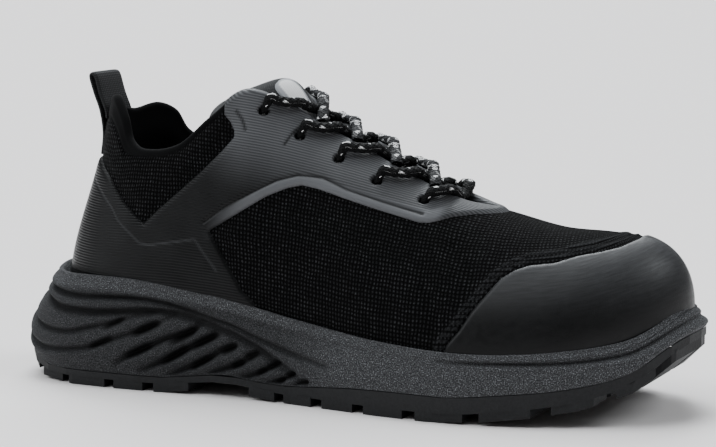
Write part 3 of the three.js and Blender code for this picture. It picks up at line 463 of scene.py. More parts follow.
def inside_distance(outline, x, z):
    """Distance to a closed outline, positive inside it."""
    closed = np.concatenate([outline, outline[:1]])
    distance, _ = segments_distance(closed, x, z)
    inside = np.zeros(x.shape, bool)
    for a, b in zip(closed[:-1], closed[1:]):
        crosses = (a[1] > z) != (b[1] > z)
        slope = (b[0] - a[0]) / (b[1] - a[1] + 1e-12)
        inside ^= crosses & (x < a[0] + (z - a[1]) * slope)
    return np.where(inside, distance, -distance)


def eyelet_points():
    both = (OUTER, INNER)
    return np.array([upper_point(at, float(side), share) for at, share in EYELETS for side in both])


def hole_share(p):
    """1 in the eyelets, 0 away from them."""
    centres = eyelet_points()
    distance = np.min(np.linalg.norm(p[..., None, :] - centres, axis=-1), axis=-1)
    return 1 - smooth(distance, HOLE_CORE, HOLE_EDGE)


# Meshes
def arc(p, axis):
    """Length along a grid of points."""
    steps = np.linalg.norm(np.diff(p, axis=axis), axis=-1)
    start = np.zeros_like(np.take(steps, [0], axis=axis))
    return np.concatenate([start, np.cumsum(steps, axis=axis)], axis=axis)


def grid_faces(rows, columns, closed=False):
    r, c = np.meshgrid(np.arange(rows - 1), np.arange(columns if closed else columns - 1), indexing="ij")
    d = (c + 1) % columns
    low = r * columns
    high = low + columns
    return np.stack([low + c, low + d, high + d, high + c], -1).reshape(-1, 4)


def piece(name, p, faces, material, nodes=(), uv=None, masks=None, flip=False):
    """A smooth mesh from points in millimetres; masks holds named values per point."""
    p = np.asarray(p, float).reshape(-1, 3)
    faces = np.asarray(faces)
    used, index = np.unique(faces, return_inverse=True)
    faces = index.reshape(faces.shape)
    if flip:
        faces = faces[:, ::-1]
    mesh = bpy.data.meshes.new(name)
    mesh.from_pydata(((p[used] + SHIFT) / 1000).tolist(), [], faces.tolist())
    mesh.polygons.foreach_set("use_smooth", [True] * len(mesh.polygons))
    if uv is not None:
        corner = np.empty(len(mesh.loops), int)
        mesh.loops.foreach_get("vertex_index", corner)
        layer = mesh.uv_layers.new(name="millimetres")
        layer.data.foreach_set("uv", np.asarray(uv, float).reshape(-1, 2)[used][corner].ravel())
    for key, values in (masks or {}).items():
        layer = mesh.attributes.new(key, "FLOAT", "POINT")
        layer.data.foreach_set("value", np.asarray(values, float).ravel()[used])
    mesh.materials.append(material)
    mesh.validate()
    obj = bpy.data.objects.new(name, mesh)
    bpy.context.scene.collection.objects.link(obj)
    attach(obj, "root")
    if nodes:
        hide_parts(*nodes)
    return obj


def round_of(count):
    """Places and sides of a ring that goes once round the shoe."""
    there = np.linspace(0, 1, count)
    at = np.concatenate([there, there[-2:0:-1]])
    side = np.concatenate([np.full(count, float(OUTER)), np.full(count - 2, float(INNER))])
    return at, side


def along_edge(line, side):
    """Lengths along a ring from the heel, the same on both sides."""
    u = arc(line[None], 1)[0]
    half = (len(side) + 2) // 2
    return np.where(side < 0, u, u[half - 1] * 2 - u)


def top_edge(at, side):
    """Top of the wall: its points, and the directions out of it and up along it."""
    ones = 1.0 + 0 * at
    out = upper_normal(at, side, ones)
    up = unit(np.cross(out, np.cross(points(0 * at, 0 * at, ones), out)))
    return grown(at, side, ones, 0.0), out, up


# Surface of the upper: padding beside the film, and the two sewn ridges behind the toe cap
def upper_relief(p, at, share):
    x, z = p[..., 0], p[..., 2]
    quarter = inside_distance(QUARTER, x, z)
    toe = inside_distance(TOE_CAP, x, z)
    ankle = smooth(-quarter, 0, 7) * (1 - smooth(at, 0.36, 0.42)) * smooth(z, 55, 70)
    edge = 1 - smooth(share, 0.9, 1)
    seam_share = 0.925 + 0.055 * smooth(at, 0.12, 0.2)
    seam = 0.55 * bell(share - seam_share, 0.012) * (at < 0.34)
    folds = sum(d * bell(segments_distance(line, x, z)[0], w) for line, w, d in FOLDS)
    ridges = sum(bell(-toe - middle, 0.55) for middle in SEWN_LINES)
    return 1.1 * ankle * edge + 0.6 * ridges - seam - folds


def make_upper(material):
    at, side = round_of(260)
    wall_shares = np.concatenate([np.linspace(0, 0.9, 58), np.linspace(0.908, 1, 14)])
    columns = len(at)
    share = np.repeat(wall_shares[:, None], columns, 1)
    base = upper_point(at[None], side[None], share)
    relief = upper_relief(base, at[None], share)
    holes = hole_share(base)
    outside = grown(at[None], side[None], share, relief - HOLE_DEPTH * holes)
    length = thickness(at, 1.0)
    closed = (at >= THROAT_END)[:, None]
    top, out, up = top_edge(at, side)
    rows = [outside]
    middle = top - out * (length / 2)[:, None]
    for turn in np.linspace(0, math.pi, 9)[1:]:
        rolled = middle + (out * math.cos(turn) + up * math.sin(turn)) * (length / 2)[:, None]
        lowered = top - points(0 * at, 0 * at, length * turn / math.pi)
        rows.append(np.where(closed, lowered, rolled)[None])
    inner_shares = np.repeat(np.linspace(0.985, 0.02, 34)[:, None], columns, 1)
    rows.append(grown(at[None], side[None], inner_shares, -thickness(at[None], inner_shares)))
    p = np.concatenate(rows)
    u = along_edge(base[28], side)
    uv = np.stack([np.repeat(u[None], len(p), 0), arc(p, 0)], -1)
    lining = np.zeros(p.shape[:2])
    lining[:] = (np.arange(len(p)) >= len(wall_shares))[:, None]
    higher = 0.055 * smooth(at, 0.12, 0.2)
    band = smooth(share - higher[None], 0.915, 0.935) * (1 - smooth(at, 0.36, 0.4))[None]
    lining[: len(wall_shares)] = band
    # mask for the painted shade in the eyelets
    hole_mask = np.zeros(p.shape[:2])
    hole_mask[: len(wall_shares)] = holes
    behind = -inside_distance(TOE_CAP, base[..., 0], base[..., 2])
    stitched = np.zeros(p.shape[:2])
    stitched[: len(wall_shares)] = sum(bell(behind - middle, 0.6) for middle in SEWN_LINES)
    faces = grid_faces(len(p), columns, closed=True)
    masks = {"lining": lining, "hole": hole_mask, "sewn": stitched}
    return piece("upper_shell", p, faces, material, ["upper"], uv, masks)


def film_grid(count, shares):
    """Grid over both sides of the upper: points, places, sides, shares, lengths along and up."""
    at, side = round_of(count)
    share = np.repeat(shares[:, None], len(at), 1)
    base = upper_point(at[None], side[None], share)
    u = along_edge(base[len(shares) // 3], side)
    v = arc(base, 0)
    return base, at, side, share, np.stack([np.repeat(u[None], len(shares), 0), v], -1)


def make_film(name, outline, material, node, count, shares, shape):
    """A moulded film on the upper, which turns over the edge of the throat."""
    base, at, side, share, uv = film_grid(count, shares)
    inside = inside_distance(outline, base[..., 0], base[..., 2])
    height, masks = shape(base, inside)
    holes = hole_share(base)
    height = np.where(holes > 0, height * (1 - holes) - HOLE_DEPTH * holes, height)
    p = grown(at[None], side[None], share, height)
    throat = (at > 0.3) & (at < THROAT_END)
    top, out, up = top_edge(at, side)
    length = thickness(at, 1.0) / 2
    rows = [p]
    turns = np.linspace(0, math.pi, 9)[1:]
    added = len(turns)
    for turn in turns:
        reach = (length + height[-1])[:, None]
        rolled = top - out * length[:, None] + (out * math.cos(turn) + up * math.sin(turn)) * reach
        rows.append(np.where(throat[:, None], rolled, p[-1])[None])
    full = np.concatenate(rows)
    faces = grid_faces(len(full), len(at), closed=True)
    reach_in = np.concatenate([inside, np.repeat(inside[-1:], added, 0)]).ravel()
    flat = np.repeat(throat[None], len(full), 0)
    flat[: len(shares)] = True
    keep = np.all((reach_in[faces] > -1.1) & flat.ravel()[faces], axis=1)
    further = np.stack([np.zeros(added), length.mean() * turns], -1)[:, None]
    uv = np.concatenate([uv, np.repeat(uv[-1:], added, 0) + further])
    masks = {key: np.concatenate([value, np.repeat(value[-1:], added, 0)]) for key, value in masks.items()}
    masks["hole"] = np.concatenate([holes, np.zeros((added, len(at)))])
    return piece(name, full, faces[keep], material, [node], uv, masks)


def quarter_shape(base, inside):
    x, z = base[..., 0], base[..., 2]
    band, _ = segments_distance(BAND_LINE, x, z)
    counter, _ = segments_distance(COUNTER_LINE, x, z)
    rise = -0.9 + 2.1 * smooth(inside, -0.5, 0.9) + 0.25 * smooth(inside, 0.6, 3)
    groove = 0.5 * bell(band, 0.5) + 0.28 * bell(counter, 0.4)
    fine = np.minimum(*(segments_distance(line, x, z)[0] for line in FINE_LINES))
    # painted shade in the fine pressed lines and along the band line
    fine = bell(np.minimum(fine, band), 0.55)
    window = inside_distance(np.concatenate([BAND_LINE, WINDOW_REST]), x, z)
    plain = smooth(window, -0.6, 0.6)
    # painted highlight along the raised band beside the window, fading towards the heel
    edge = (1 - smooth(inside, 3.4, 4.6)) * (1 - smooth(band, 5, 9)) * smooth(inside, -0.2, 0.5)
    edge = edge * smooth(x, 98, 122)
    # painted highlight: the film is made lighter towards the top of the eyestay
    light = smooth(z + 0.25 * (x - 130), 78, 108) * smooth(x, 88, 114)
    line = bell(counter, 0.35)
    masks = {"plain": plain, "line": line, "light": light, "edge": edge, "fine": fine}
    return rise - groove - 0.3 * fine, masks


def toe_shape(base, inside):
    rise = -0.9 + 2.0 * smooth(inside, -0.5, 0.9)
    z = base[..., 2]
    # painted highlight: lighter towards the top of the toe cap
    return rise, {"light": smooth(z, 38, 72)}


def make_midsole(material):
    at, side = round_of(430)
    levels = np.linspace(0, 1, 74)
    level = np.repeat(levels[:, None], len(at), 1)
    base = sole_side(at[None], side[None], level)
    u = along_edge(sole_side(at, side, 0.5 + 0 * at), side)
    half = (len(at) + 2) // 2
    height = base[-1, :, 2] - base[0, :, 2]
    v = level * height[None]

    def to_u(place):
        return np.interp(place, at[:half], u[:half])

    def to_h(place):
        return np.interp(place, at[:half], height[:half])

    depth = np.zeros(level.shape)
    dark = np.zeros(level.shape)
    x = np.repeat(u[None], len(levels), 0)
    for width, deep, line in GROOVES:
        places = np.array(line, float)
        fine = np.linspace(0, 1, 24)
        own = np.linspace(0, 1, len(places))
        a, b = np.interp(fine, own, places[:, 0]), np.interp(fine, own, places[:, 1])
        d, t = segments_distance(np.stack([to_u(a), b * to_h(a)], 1), x, v)
        swell = 0.3 + 0.7 * np.sqrt(np.clip(np.sin(math.pi * t), 0, 1))
        beside = 0.35 * bell(d - 2.6 * width, width)
        depth += swell * (beside - deep * bell(d, width))
    for place, low, long, wide, deep in PITS:
        cu, cv = to_u(place), low * to_h(place)
        run, lift = math.cos(0.45), math.sin(0.45)
        a = (x - cu) * run + (v - cv) * lift
        b = -(x - cu) * lift + (v - cv) * run
        pit = np.exp(-((a / (long / 2)) ** 4) - (b / (wide / 2)) ** 2)
        depth -= deep * pit
        # painted shade: the pit mask darkens the pits
        dark = np.maximum(dark, pit)
    depth *= smooth(level, 0, 0.04)
    nx, ny = plan_normal(sole_edge, at, side)
    p = base + points(nx[None] * depth, ny[None] * depth, 0 * depth)
    rows = [p]
    for inward, rise in ((0.35, 0.35), (1.0, 0.55), (1.9, 0.3), (3.0, -1.2), (4.0, -3.5)):
        rows.append((p[-1] + points(-nx * inward, -ny * inward, rise + 0 * nx))[None])
    under = base[0] + points(-nx * 12, -ny * 12, 0 * nx)
    p = np.concatenate([under[None], *rows])
    faces = grid_faces(len(p), len(at), closed=True)
    uv = np.stack([np.repeat(u[None], len(p), 0), arc(p, 0)], -1)

    def pad(mask, top):
        return np.concatenate([mask[:1], mask, np.repeat(mask[-1:] * top, 5, 0)])

    speckle = np.maximum(smooth(level, 0.84, 0.9), smooth(at, 0.42, 0.55)[None])
    # the pit and groove masks carry painted shade, darker in the pits and the deeper grooves
    masks = {"pit": pad(dark, 0), "speckle": pad(speckle, 1), "groove": pad(np.clip(-depth / 2.2, 0, 1), 0)}
    return piece("midsole_body", p, faces, material, ["midsole"], uv, masks)


def place_of(x):
    """Place along the top of the upper whose X is x."""
    fine = np.linspace(0.15, 0.72, 600)
    return np.interp(x, LAST_SETBACK + LAST_LENGTH * column(TOP, "along", fine), fine)


def tongue_point(x, across):
    """Top of the tongue; across runs from the outer wing's end (-1) to the inner wing's (1)."""
    x, across = np.broadcast_arrays(np.asarray(x, float), across)
    at = place_of(x)
    wing = 0.3
    flat = np.clip(across / (1 - wing), -1, 1)
    depth = np.clip((np.abs(across) - (1 - wing)) / wing, 0, 1)
    share = 1 - 0.17 * depth
    inset = -(thickness(at, share) + GAP)
    outer = grown(at, float(OUTER), share, inset)
    inner = grown(at, float(INNER), share, inset)
    s = ((flat + 1) / 2)[..., None]
    p = outer * (1 - s) + inner * s
    p[..., 2] += TONGUE_PAD * np.maximum(0, column(TOP, "crown", at)) * (1 - flat**2)
    swell = 3.0 * bell(x - 91, 7) - 4.2 * bell(x - 111, 9)
    swell = swell + 3.0 * bell(x - 127, 8)
    p[..., 2] += swell * (1 - 0.6 * flat**2)
    return p


def make_tongue(material):
    across = np.linspace(-1, 1, 90)
    along = np.linspace(0, 1, 130) ** 1.15
    y = tongue_point(100.0, across)[:, 1]
    back = TONGUE_BACK + 5.5 * np.clip(np.abs(y) / 21.3, 0, 1.2) ** 3
    x = back[None] + (TONGUE_FRONT - back)[None] * along[:, None]
    top = tongue_point(x, np.repeat(across[None], len(along), 0))
    normal = unit(np.cross(np.gradient(top, axis=0), np.gradient(top, axis=1)))
    normal *= np.where(normal[..., 2:] < 0, -1, 1)
    from_back = x - back[None]
    from_side = (1 - np.abs(across))[None] * 40
    rim = np.minimum(from_back, from_side)
    round_off = np.sqrt(np.clip(1 - (1 - np.clip(rim / 2.6, 0, 1)) ** 2, 0, 1))
    pad = TONGUE_PAD * (0.8 + 0.2 * smooth(from_back, 0, 12))
    seam = 0.5 * bell(from_back - 5.5, 0.7)
    middle = top - normal * (TONGUE_PAD / 2)
    upper_side = middle + normal * (pad / 2 * round_off - seam)[..., None]
    lower_side = middle - normal * (pad / 2 * round_off)[..., None]
    p = np.concatenate([lower_side[::-1], upper_side])
    uv = np.stack([arc(top, 1), arc(top, 0)], -1)
    uv = np.concatenate([uv[::-1], uv])
    faces = grid_faces(len(p), len(across))
    edge = 1 - smooth(from_back, 5.2, 5.8)
    masks = {"edge": np.concatenate([edge[::-1], edge])}
    obj = piece("tongue_pad", p, faces, material, ["tongue"], uv, masks)
    return obj


def make_label(material):
    """A blank sewn label on the tongue."""
    a, b = np.meshgrid(np.linspace(-1, 1, 40), np.linspace(-1, 1, 30), indexing="ij")
    x = LABEL_PLACE + LABEL_REACH * a * np.sqrt(1 - b * b / 2)
    across = -0.34 + 0.34 * b * np.sqrt(1 - a * a / 2)
    base = tongue_point(x, across)
    lift = 0.75 * np.clip(4 * (1 - np.maximum(np.abs(a) ** 5, np.abs(b) ** 5)), 0, 1)
    p = base + points(0 * a, 0 * a, lift)
    oval = 1 - smooth(np.hypot((a + 0.35) / 0.55, b / 0.75), 0.94, 1.02)
    masks = {"oval": oval}
    uv = np.stack([x, p[..., 1]], -1)
    return piece("tongue_label", p, grid_faces(*a.shape), material, (), uv, masks)


# Curves through points
def spline(knots, count):
    """Points along a smooth curve through the knots, evenly spaced."""
    k = np.asarray(knots, float)
    k = np.concatenate([[2 * k[0] - k[1]], k, [2 * k[-1] - k[-2]]])
    t = np.linspace(0, len(k) - 3, 40 * (len(k) - 3) + 1)
    i = np.minimum(t.astype(int), len(k) - 4)
    f = (t - i)[:, None]
    a, b, c, d = k[i], k[i + 1], k[i + 2], k[i + 3]
    fine = 0.5 * (2 * b + (c - a) * f + (2 * a - 5 * b + 4 * c - d) * f**2 + (3 * b - a - 3 * c + d) * f**3)
    length = arc(fine, 0)
    even = np.linspace(0, length[-1], count)
    return np.stack([np.interp(even, length, fine[:, j]) for j in range(fine.shape[1])], 1)


def make_strap(material):
    at0 = np.array(0.0)
    heel = top_point(at0, float(OUTER))

    def on_heel(share, out, bend):
        q = grown(at0, float(OUTER), share, GAP + STRAP_THICKNESS / 2 + out)
        return (q[0], q[2], bend)

    path = [
        on_heel(0.8, 0.1, 2.6), on_heel(0.9, 0.4, 2.2), (heel[0] - 3, heel[2], 1.4),
        (heel[0] - 4.8, heel[2] + 0.5 * LOOP_HEIGHT, 0.2), (heel[0] - 6.6, heel[2] + 0.92 * LOOP_HEIGHT, 0),
        (heel[0] - 5.4, heel[2] + LOOP_HEIGHT, 0), (heel[0] - 4, heel[2] + 0.9 * LOOP_HEIGHT, 0),
        (heel[0] - 2, heel[2] + 0.45 * LOOP_HEIGHT, 0.2), (heel[0] - 0.3, heel[2], 1.4),
        (heel[0] - 0.2, heel[2] - 3, 1.6),
    ]
    line = spline(path, 120)
    tangent = unit(np.gradient(line[:, :2], axis=0))
    out = np.stack([-tangent[:, 1], tangent[:, 0]], 1)
    turn = np.linspace(0, 2 * math.pi, 49)[:-1]
    across = np.sign(np.cos(turn)) * np.abs(np.cos(turn)) ** 0.35
    deep = np.sign(np.sin(turn)) * np.abs(np.sin(turn)) ** 0.6
    y = across * STRAP_WIDTH / 2
    x = line[:, :1] + out[:, :1] * deep * STRAP_THICKNESS / 2 + line[:, 2:] * across**2
    z = line[:, 1:2] + out[:, 1:] * deep * STRAP_THICKNESS / 2
    p = points(x, y[None], z)
    length = arc(line[:, :2], 0)
    uv = np.stack([np.repeat(length[:, None], len(y), 1), np.repeat(y[None], len(line), 0)], -1)
    edge = np.repeat(smooth(np.abs(across), 0.8, 0.9)[None], len(line), 0)
    faces = grid_faces(len(p), len(y), closed=True)
    return piece("pull_strap", p, faces, material, ["pull_loop"], uv, {"edge": edge})


# Laces
CROSSING = ((0, 1), (0.0365, 0.72), (0.0493, 0.42), (0.0602, 0.1), (0.0693, -0.2), (0.078, -0.5))
BAR = ((0, 1), (0.0237, 0.7), (0.031, 0.25), (0.0328, -0.25), (0.0255, -0.7), (0, -1))


def tree_of(objects):
    vertices, faces = [], []
    for obj in objects:
        start = len(vertices)
        vertices += [v.co * 1000 for v in obj.data.vertices]
        faces += [[start + i for i in face.vertices] for face in obj.data.polygons]
    return BVHTree.FromPolygons(vertices, faces)


def lace_path(tree, rows, eyelet, side, lift, to_far):
    """Points of a lace from its eyelet; lift raises it where it passes over another."""
    at, share = eyelet
    base = grown(at, float(side), share, GAP + FILM)
    normal = upper_normal(at, float(side), share)
    half = abs(base[1] - axis_y(base[0]))
    plan = []
    for ahead, across in rows:
        raised = lift * max(0, 1 - abs(across) / 0.6)
        x = base[0] + ahead * LAST_LENGTH
        plan.append((x, axis_y(base[0]) + side * across * half, raised))
    reach = LACE_RADIUS * 0.8
    path = []
    for x, y, raised in spline(plan, 16):
        heights = []
        for dx, dy in ((0, 0), (reach, 0), (-reach, 0), (0, reach), (0, -reach)):
            start = (x + dx + SHIFT[0], y + dy + SHIFT[1], 200)
            hit = tree.ray_cast(Vector(start), Vector((0, 0, -1)))[0]
            if hit is not None:
                heights.append(hit.z)
        path.append((x, y, max(heights) + LACE_RADIUS * 0.98 + raised))
    path = np.array(path)
    path[1:-1, 2] = (path[:-2, 2] + 2 * path[1:-1, 2] + path[2:, 2]) / 4
    start = [base - normal * 5, base - normal * 1.2]
    body = path[1:]
    if to_far:
        far = grown(at, float(-side), share, GAP + FILM)
        far_normal = upper_normal(at, float(-side), share)
        return np.concatenate([start, path[1:-1], [far - far_normal * 1.2, far - far_normal * 5]])
    body[-1, 2] -= 3.2
    body[-2, 2] -= 1.2
    return np.concatenate([start, body])


def make_lace(name, path, material, nodes, closed_ends=False):
    line = spline(path, 110)
    tangent = unit(np.gradient(line, axis=0))
    side = unit(np.cross(tangent, np.array([0.0, 0.0, 1.0])))
    up = np.cross(side, tangent)
    turn = np.linspace(0, 2 * math.pi, 33)[:-1]
    length = arc(line, 0)
    twist = turn[None] * 4
    tail = np.minimum(length, length[-1] - length) if closed_ends else length
    wind = length[:, None] * 2.2
    strands = 1 + 0.045 * (np.sin(twist + wind) + np.sin(twist - wind))
    strands = strands * (0.55 + 0.45 * smooth(tail, 4, 10))[:, None]
    wide = np.cos(turn)[None] * LACE_RADIUS * 1.06 * strands
    tall = np.sin(turn)[None] * LACE_RADIUS * 0.9 * strands
    p = line[:, None] + side[:, None] * wide[..., None] + up[:, None] * tall[..., None]
    around = np.repeat((turn * LACE_RADIUS)[None], len(line), 0)
    uv = np.stack([np.repeat(length[:, None], len(turn), 1), around], -1)
    faces = grid_faces(len(p), len(turn), closed=True)
    return piece(name, p, faces, material, nodes, uv, flip=True)


def make_laces(tree, dark, light):
    bar = lace_path(tree, BAR, EYELETS[0], OUTER, 0, True)
    pieces = [make_lace("lace_bar", bar, dark, ["lace_bar_1"], True)]
    for number, eyelet in enumerate(EYELETS[1:], 2):
        under = lace_path(tree, CROSSING, eyelet, OUTER, 0, False)
        over = lace_path(tree, CROSSING, eyelet, INNER, 1.55 * LACE_RADIUS, False)
        pieces.append(make_lace(f"lace_under_{number}", under, dark, [f"lace_cross_{number}"]))
        # the laces that lie over take the lighter copy of the lace as painted highlight
        pieces.append(make_lace(f"lace_over_{number}", over, light, []))
    return pieces


# Materials
class Surface:
    """A node material; millimetre coordinates come from the piece's own map."""

    def __init__(self, name, roughness=0.6, coat=0.0, sheen=0.0, specular=0.5):
        self.material = bpy.data.materials.new(name)
        self.material.use_nodes = True
        self.tree = self.material.node_tree
        self.shader = self.tree.nodes["Principled BSDF"]
        self.shader.inputs["Roughness"].default_value = roughness
        self.shader.inputs["Coat Weight"].default_value = coat
        self.shader.inputs["Sheen Weight"].default_value = sheen
        self.shader.inputs["Specular IOR Level"].default_value = specular

    def node(self, kind, **values):
        made = self.tree.nodes.new(kind)
        for key, value in values.items():
            if hasattr(made, key) and not key[0].isupper():
                setattr(made, key, value)
            else:
                made.inputs[key].default_value = value
        return made

    def link(self, a, b):
        self.tree.links.new(a, b)
        return a

    def mapped(self, vector, scale=(1, 1, 1), turn=0.0):
        made = self.node("ShaderNodeMapping")
        made.inputs["Rotation"].default_value = (0, 0, turn)
        made.inputs["Scale"].default_value = scale
        self.link(vector, made.inputs["Vector"])
        return made.outputs[0]

    def uv(self):
        """Coordinates in millimetres along the surface."""
        return self.mapped(self.node("ShaderNodeUVMap", uv_map="millimetres").outputs[0])

    def place(self, scale=1000.0):
        """Object coordinates, in millimetres times scale over 1000."""
        return self.mapped(self.node("ShaderNodeTexCoord").outputs["Object"], (scale, scale, scale))

    def mask(self, name):
        return self.node("ShaderNodeAttribute", attribute_name=name).outputs["Fac"]

    def math(self, operation, a, b=None, clamp=False):
        made = self.node("ShaderNodeMath", operation=operation, use_clamp=clamp)
        for socket, value in zip(made.inputs, (a, b)):
            if value is None:
                continue
            if isinstance(value, (int, float)):
                socket.default_value = value
            else:
                self.link(value, socket)
        return made.outputs[0]

    def noise(self, vector, scale, detail=3.0, roughness=0.5):
        made = self.node("ShaderNodeTexNoise", Scale=scale, Detail=detail, Roughness=roughness)
        self.link(vector, made.inputs["Vector"])
        return made.outputs["Fac"]

    def ramp(self, value, *stops):
        """Colour or grey at stops of (place, colour)."""
        made = self.node("ShaderNodeValToRGB")
        ramp = made.color_ramp
        while len(ramp.elements) < len(stops):
            ramp.elements.new(0.5)
        for element, (at, colour) in zip(ramp.elements, stops):
            element.position = at
            element.color = (*colour, 1) if hasattr(colour, "__len__") else (colour, colour, colour, 1)
        self.link(value, made.inputs["Fac"])
        return made.outputs["Color"]

    def mix(self, share, a, b):
        made = self.node("ShaderNodeMix", data_type="RGBA")
        for socket, value in ((made.inputs[0], share), (made.inputs[6], a), (made.inputs[7], b)):
            if hasattr(value, "is_linked") or hasattr(value, "links"):
                self.link(value, socket)
            elif hasattr(value, "__len__"):
                socket.default_value = (*value, 1)
            else:
                socket.default_value = value
        return made.outputs[2]

    def colour(self, value):
        self.link(value, self.shader.inputs["Base Color"])

    def roughness(self, value):
        self.link(value, self.shader.inputs["Roughness"])

    def bump(self, height, distance, strength=1.0):
        """Relief of a height from 0 to 1, in millimetres."""
        made = self.node("ShaderNodeBump", Strength=strength, Distance=distance / 1000)
        self.link(height, made.inputs["Height"])
        previous = self.shader.inputs["Normal"].links
        if previous:
            self.link(previous[0].from_socket, made.inputs["Normal"])
        self.link(made.outputs[0], self.shader.inputs["Normal"])

    def waves(self, vector, axis, period):
        """Smooth ribs, 0 to 1, along an axis of a millimetre map."""
        parts = self.node("ShaderNodeSeparateXYZ")
        self.link(vector, parts.inputs[0])
        angle = self.math("MULTIPLY", parts.outputs[axis], 2 * math.pi / period)
        return self.math("ADD", self.math("MULTIPLY", self.math("SINE", angle), 0.5), 0.5)


def greys(base, tint=(0.97, 1.0, 1.06)):
    return tuple(base * t for t in tint)


def knit_material():
    s = Surface("knit_mesh", roughness=0.9, sheen=0.02, specular=0.05)
    uv = s.uv()
    warp = s.node("ShaderNodeTexNoise", Scale=0.12, Detail=2.0)
    s.link(uv, warp.inputs["Vector"])
    shift = s.node("ShaderNodeVectorMath", operation="MULTIPLY_ADD")
    s.link(warp.outputs["Color"], shift.inputs[0])
    shift.inputs[1].default_value = (1.6, 1.6, 0)
    s.link(uv, shift.inputs[2])
    wavy = shift.outputs[0]
    rows = s.waves(wavy, 1, KNIT_ROW)
    stitches = s.waves(wavy, 0, KNIT_STITCH)
    knots = s.math("MULTIPLY", s.math("POWER", rows, 0.7), stitches)
    fleck = s.node("ShaderNodeTexVoronoi", Scale=0.6)
    s.link(wavy, fleck.inputs["Vector"])
    spark = s.ramp(fleck.outputs["Color"], (0.0, 0.04), (0.5, 0.15), (0.93, 1.0))
    tone = s.ramp(knots, (0.0, greys(0.0004)), (0.4, greys(0.0012)), (1.0, greys(0.012)))
    patches = s.ramp(s.noise(uv, 0.35, 3, 0.7), (0.35, greys(0.0004)), (0.65, greys(0.011)))
    tone = s.mix(s.math("MULTIPLY", knots, 0.5), tone, patches)
    lit = s.mix(s.math("MULTIPLY", spark, s.math("POWER", knots, 2.5)), tone, greys(0.05))
    dashed = s.ramp(s.waves(uv, 1, STITCH_LENGTH), (0.3, 0.1), (0.5, 0.9))
    dashes = s.math("MULTIPLY", s.mask("sewn"), dashed)
    lit = s.mix(dashes, lit, greys(0.022))
    lined = s.mix(s.mask("lining"), lit, greys(0.0035))
    # painted shade: the eyelet dents are painted near-black
    s.colour(s.mix(s.mask("hole"), lined, greys(0.001)))
    open_share = s.math("SUBTRACT", 1.0, s.mask("lining"))
    s.bump(s.math("MULTIPLY", knots, open_share), 0.55)
    s.bump(s.noise(uv, 3.0, 2), 0.06)
    return s.material


def film_material():
    s = Surface("ribbed_film", roughness=0.36, specular=0.13)
    uv = s.uv()
    ribs = s.waves(uv, 1, FILM_RIB)
    bare = s.mask("plain")
    ribbed = s.math("MULTIPLY", ribs, s.math("SUBTRACT", 1.0, bare))
    cloud = s.noise(uv, 0.09, 4)
    tone = s.ramp(cloud, (0.3, greys(0.002)), (0.7, greys(0.005)))
    tone = s.mix(s.math("MULTIPLY", ribbed, 0.3), tone, greys(0.009))
    # painted highlight on the upper eyestay, with the ribs lighter in it
    tone = s.mix(s.mask("light"), tone, s.ramp(ribs, (0.0, greys(0.045)), (1.0, greys(0.105))))
    # painted highlight along the band beside the window
    tone = s.mix(s.math("MULTIPLY", s.mask("edge"), 0.75), tone, greys(0.13))
    # painted shade: darker in the pressed lines
    tone = s.mix(s.math("MULTIPLY", s.mask("fine"), 0.9), tone, greys(0.004))
    tone = s.mix(s.math("MULTIPLY", s.mask("line"), 0.5), tone, greys(0.05))
    # painted shade: the eyelet dents are painted near-black
    s.colour(s.mix(s.mask("hole"), tone, greys(0.001)))
    s.roughness(s.ramp(s.noise(uv, 0.5, 4), (0.3, 0.32), (0.7, 0.44)))
    s.bump(ribbed, 0.1)
    s.bump(s.noise(uv, 2.2, 4), 0.03)
    return s.material


def toe_material():
    s = Surface("toe_film", roughness=0.4, specular=0.2)
    uv = s.uv()
    cloud = s.noise(uv, 0.05, 4)
    dark = s.ramp(cloud, (0.3, greys(0.0025)), (0.7, greys(0.005)))
    # painted highlight with streaks, mixed in towards the top of the toe cap
    streaks = s.noise(s.mapped(uv, (0.12, 1.2, 1), 0.6), 0.9, 3)
    light = s.ramp(streaks, (0.3, greys(0.026)), (0.7, greys(0.05)))
    s.colour(s.mix(s.mask("light"), dark, light))
    s.roughness(s.ramp(s.noise(uv, 0.4, 4), (0.3, 0.36), (0.7, 0.48)))
    s.bump(s.noise(uv, 1.8, 5), 0.05)
    return s.material


def midsole_material():
    s = Surface("speckled_midsole", roughness=0.75, specular=0.16)
    uv = s.uv()
    grain = s.noise(uv, 1.9, 4, 0.65)
    coarse = s.noise(uv, 0.35, 3)
    amount = s.math("ADD", grain, s.math("MULTIPLY", s.mask("speckle"), 0.065))
    stops = ((0.38, 0.006), (0.52, 0.026), (0.64, 0.08), (0.74, 0.28))
    tone = s.ramp(amount, *((at, greys(base)) for at, base in stops))
    shade = s.ramp(coarse, (0.3, 0.7), (0.7, 1.1))
    multiply = s.node("ShaderNodeMix", data_type="RGBA", blend_type="MULTIPLY")
    multiply.inputs[0].default_value = 1
    s.link(tone, multiply.inputs[6])
    s.link(shade, multiply.inputs[7])
    # painted shade: darker in the deeper grooves
    dark = s.mix(s.math("MULTIPLY", s.mask("groove"), 0.85), multiply.outputs[2], greys(0.003))
    # painted shade: the pits are near-black
    s.colour(s.mix(s.mask("pit"), dark, greys(0.001)))
    s.bump(grain, 0.28)
    return s.material


def rubber_material(name, base, scale):
    s = Surface(name, roughness=0.62, specular=0.2)
    where = s.place(scale)
    grain = s.noise(where, 1.0, 5, 0.6)
    s.colour(s.ramp(grain, (0.3, greys(base * 0.6)), (0.7, greys(base * 1.5))))
    s.roughness(s.ramp(grain, (0.3, 0.5), (0.7, 0.75)))
    s.bump(grain, 0.15)
    return s.material


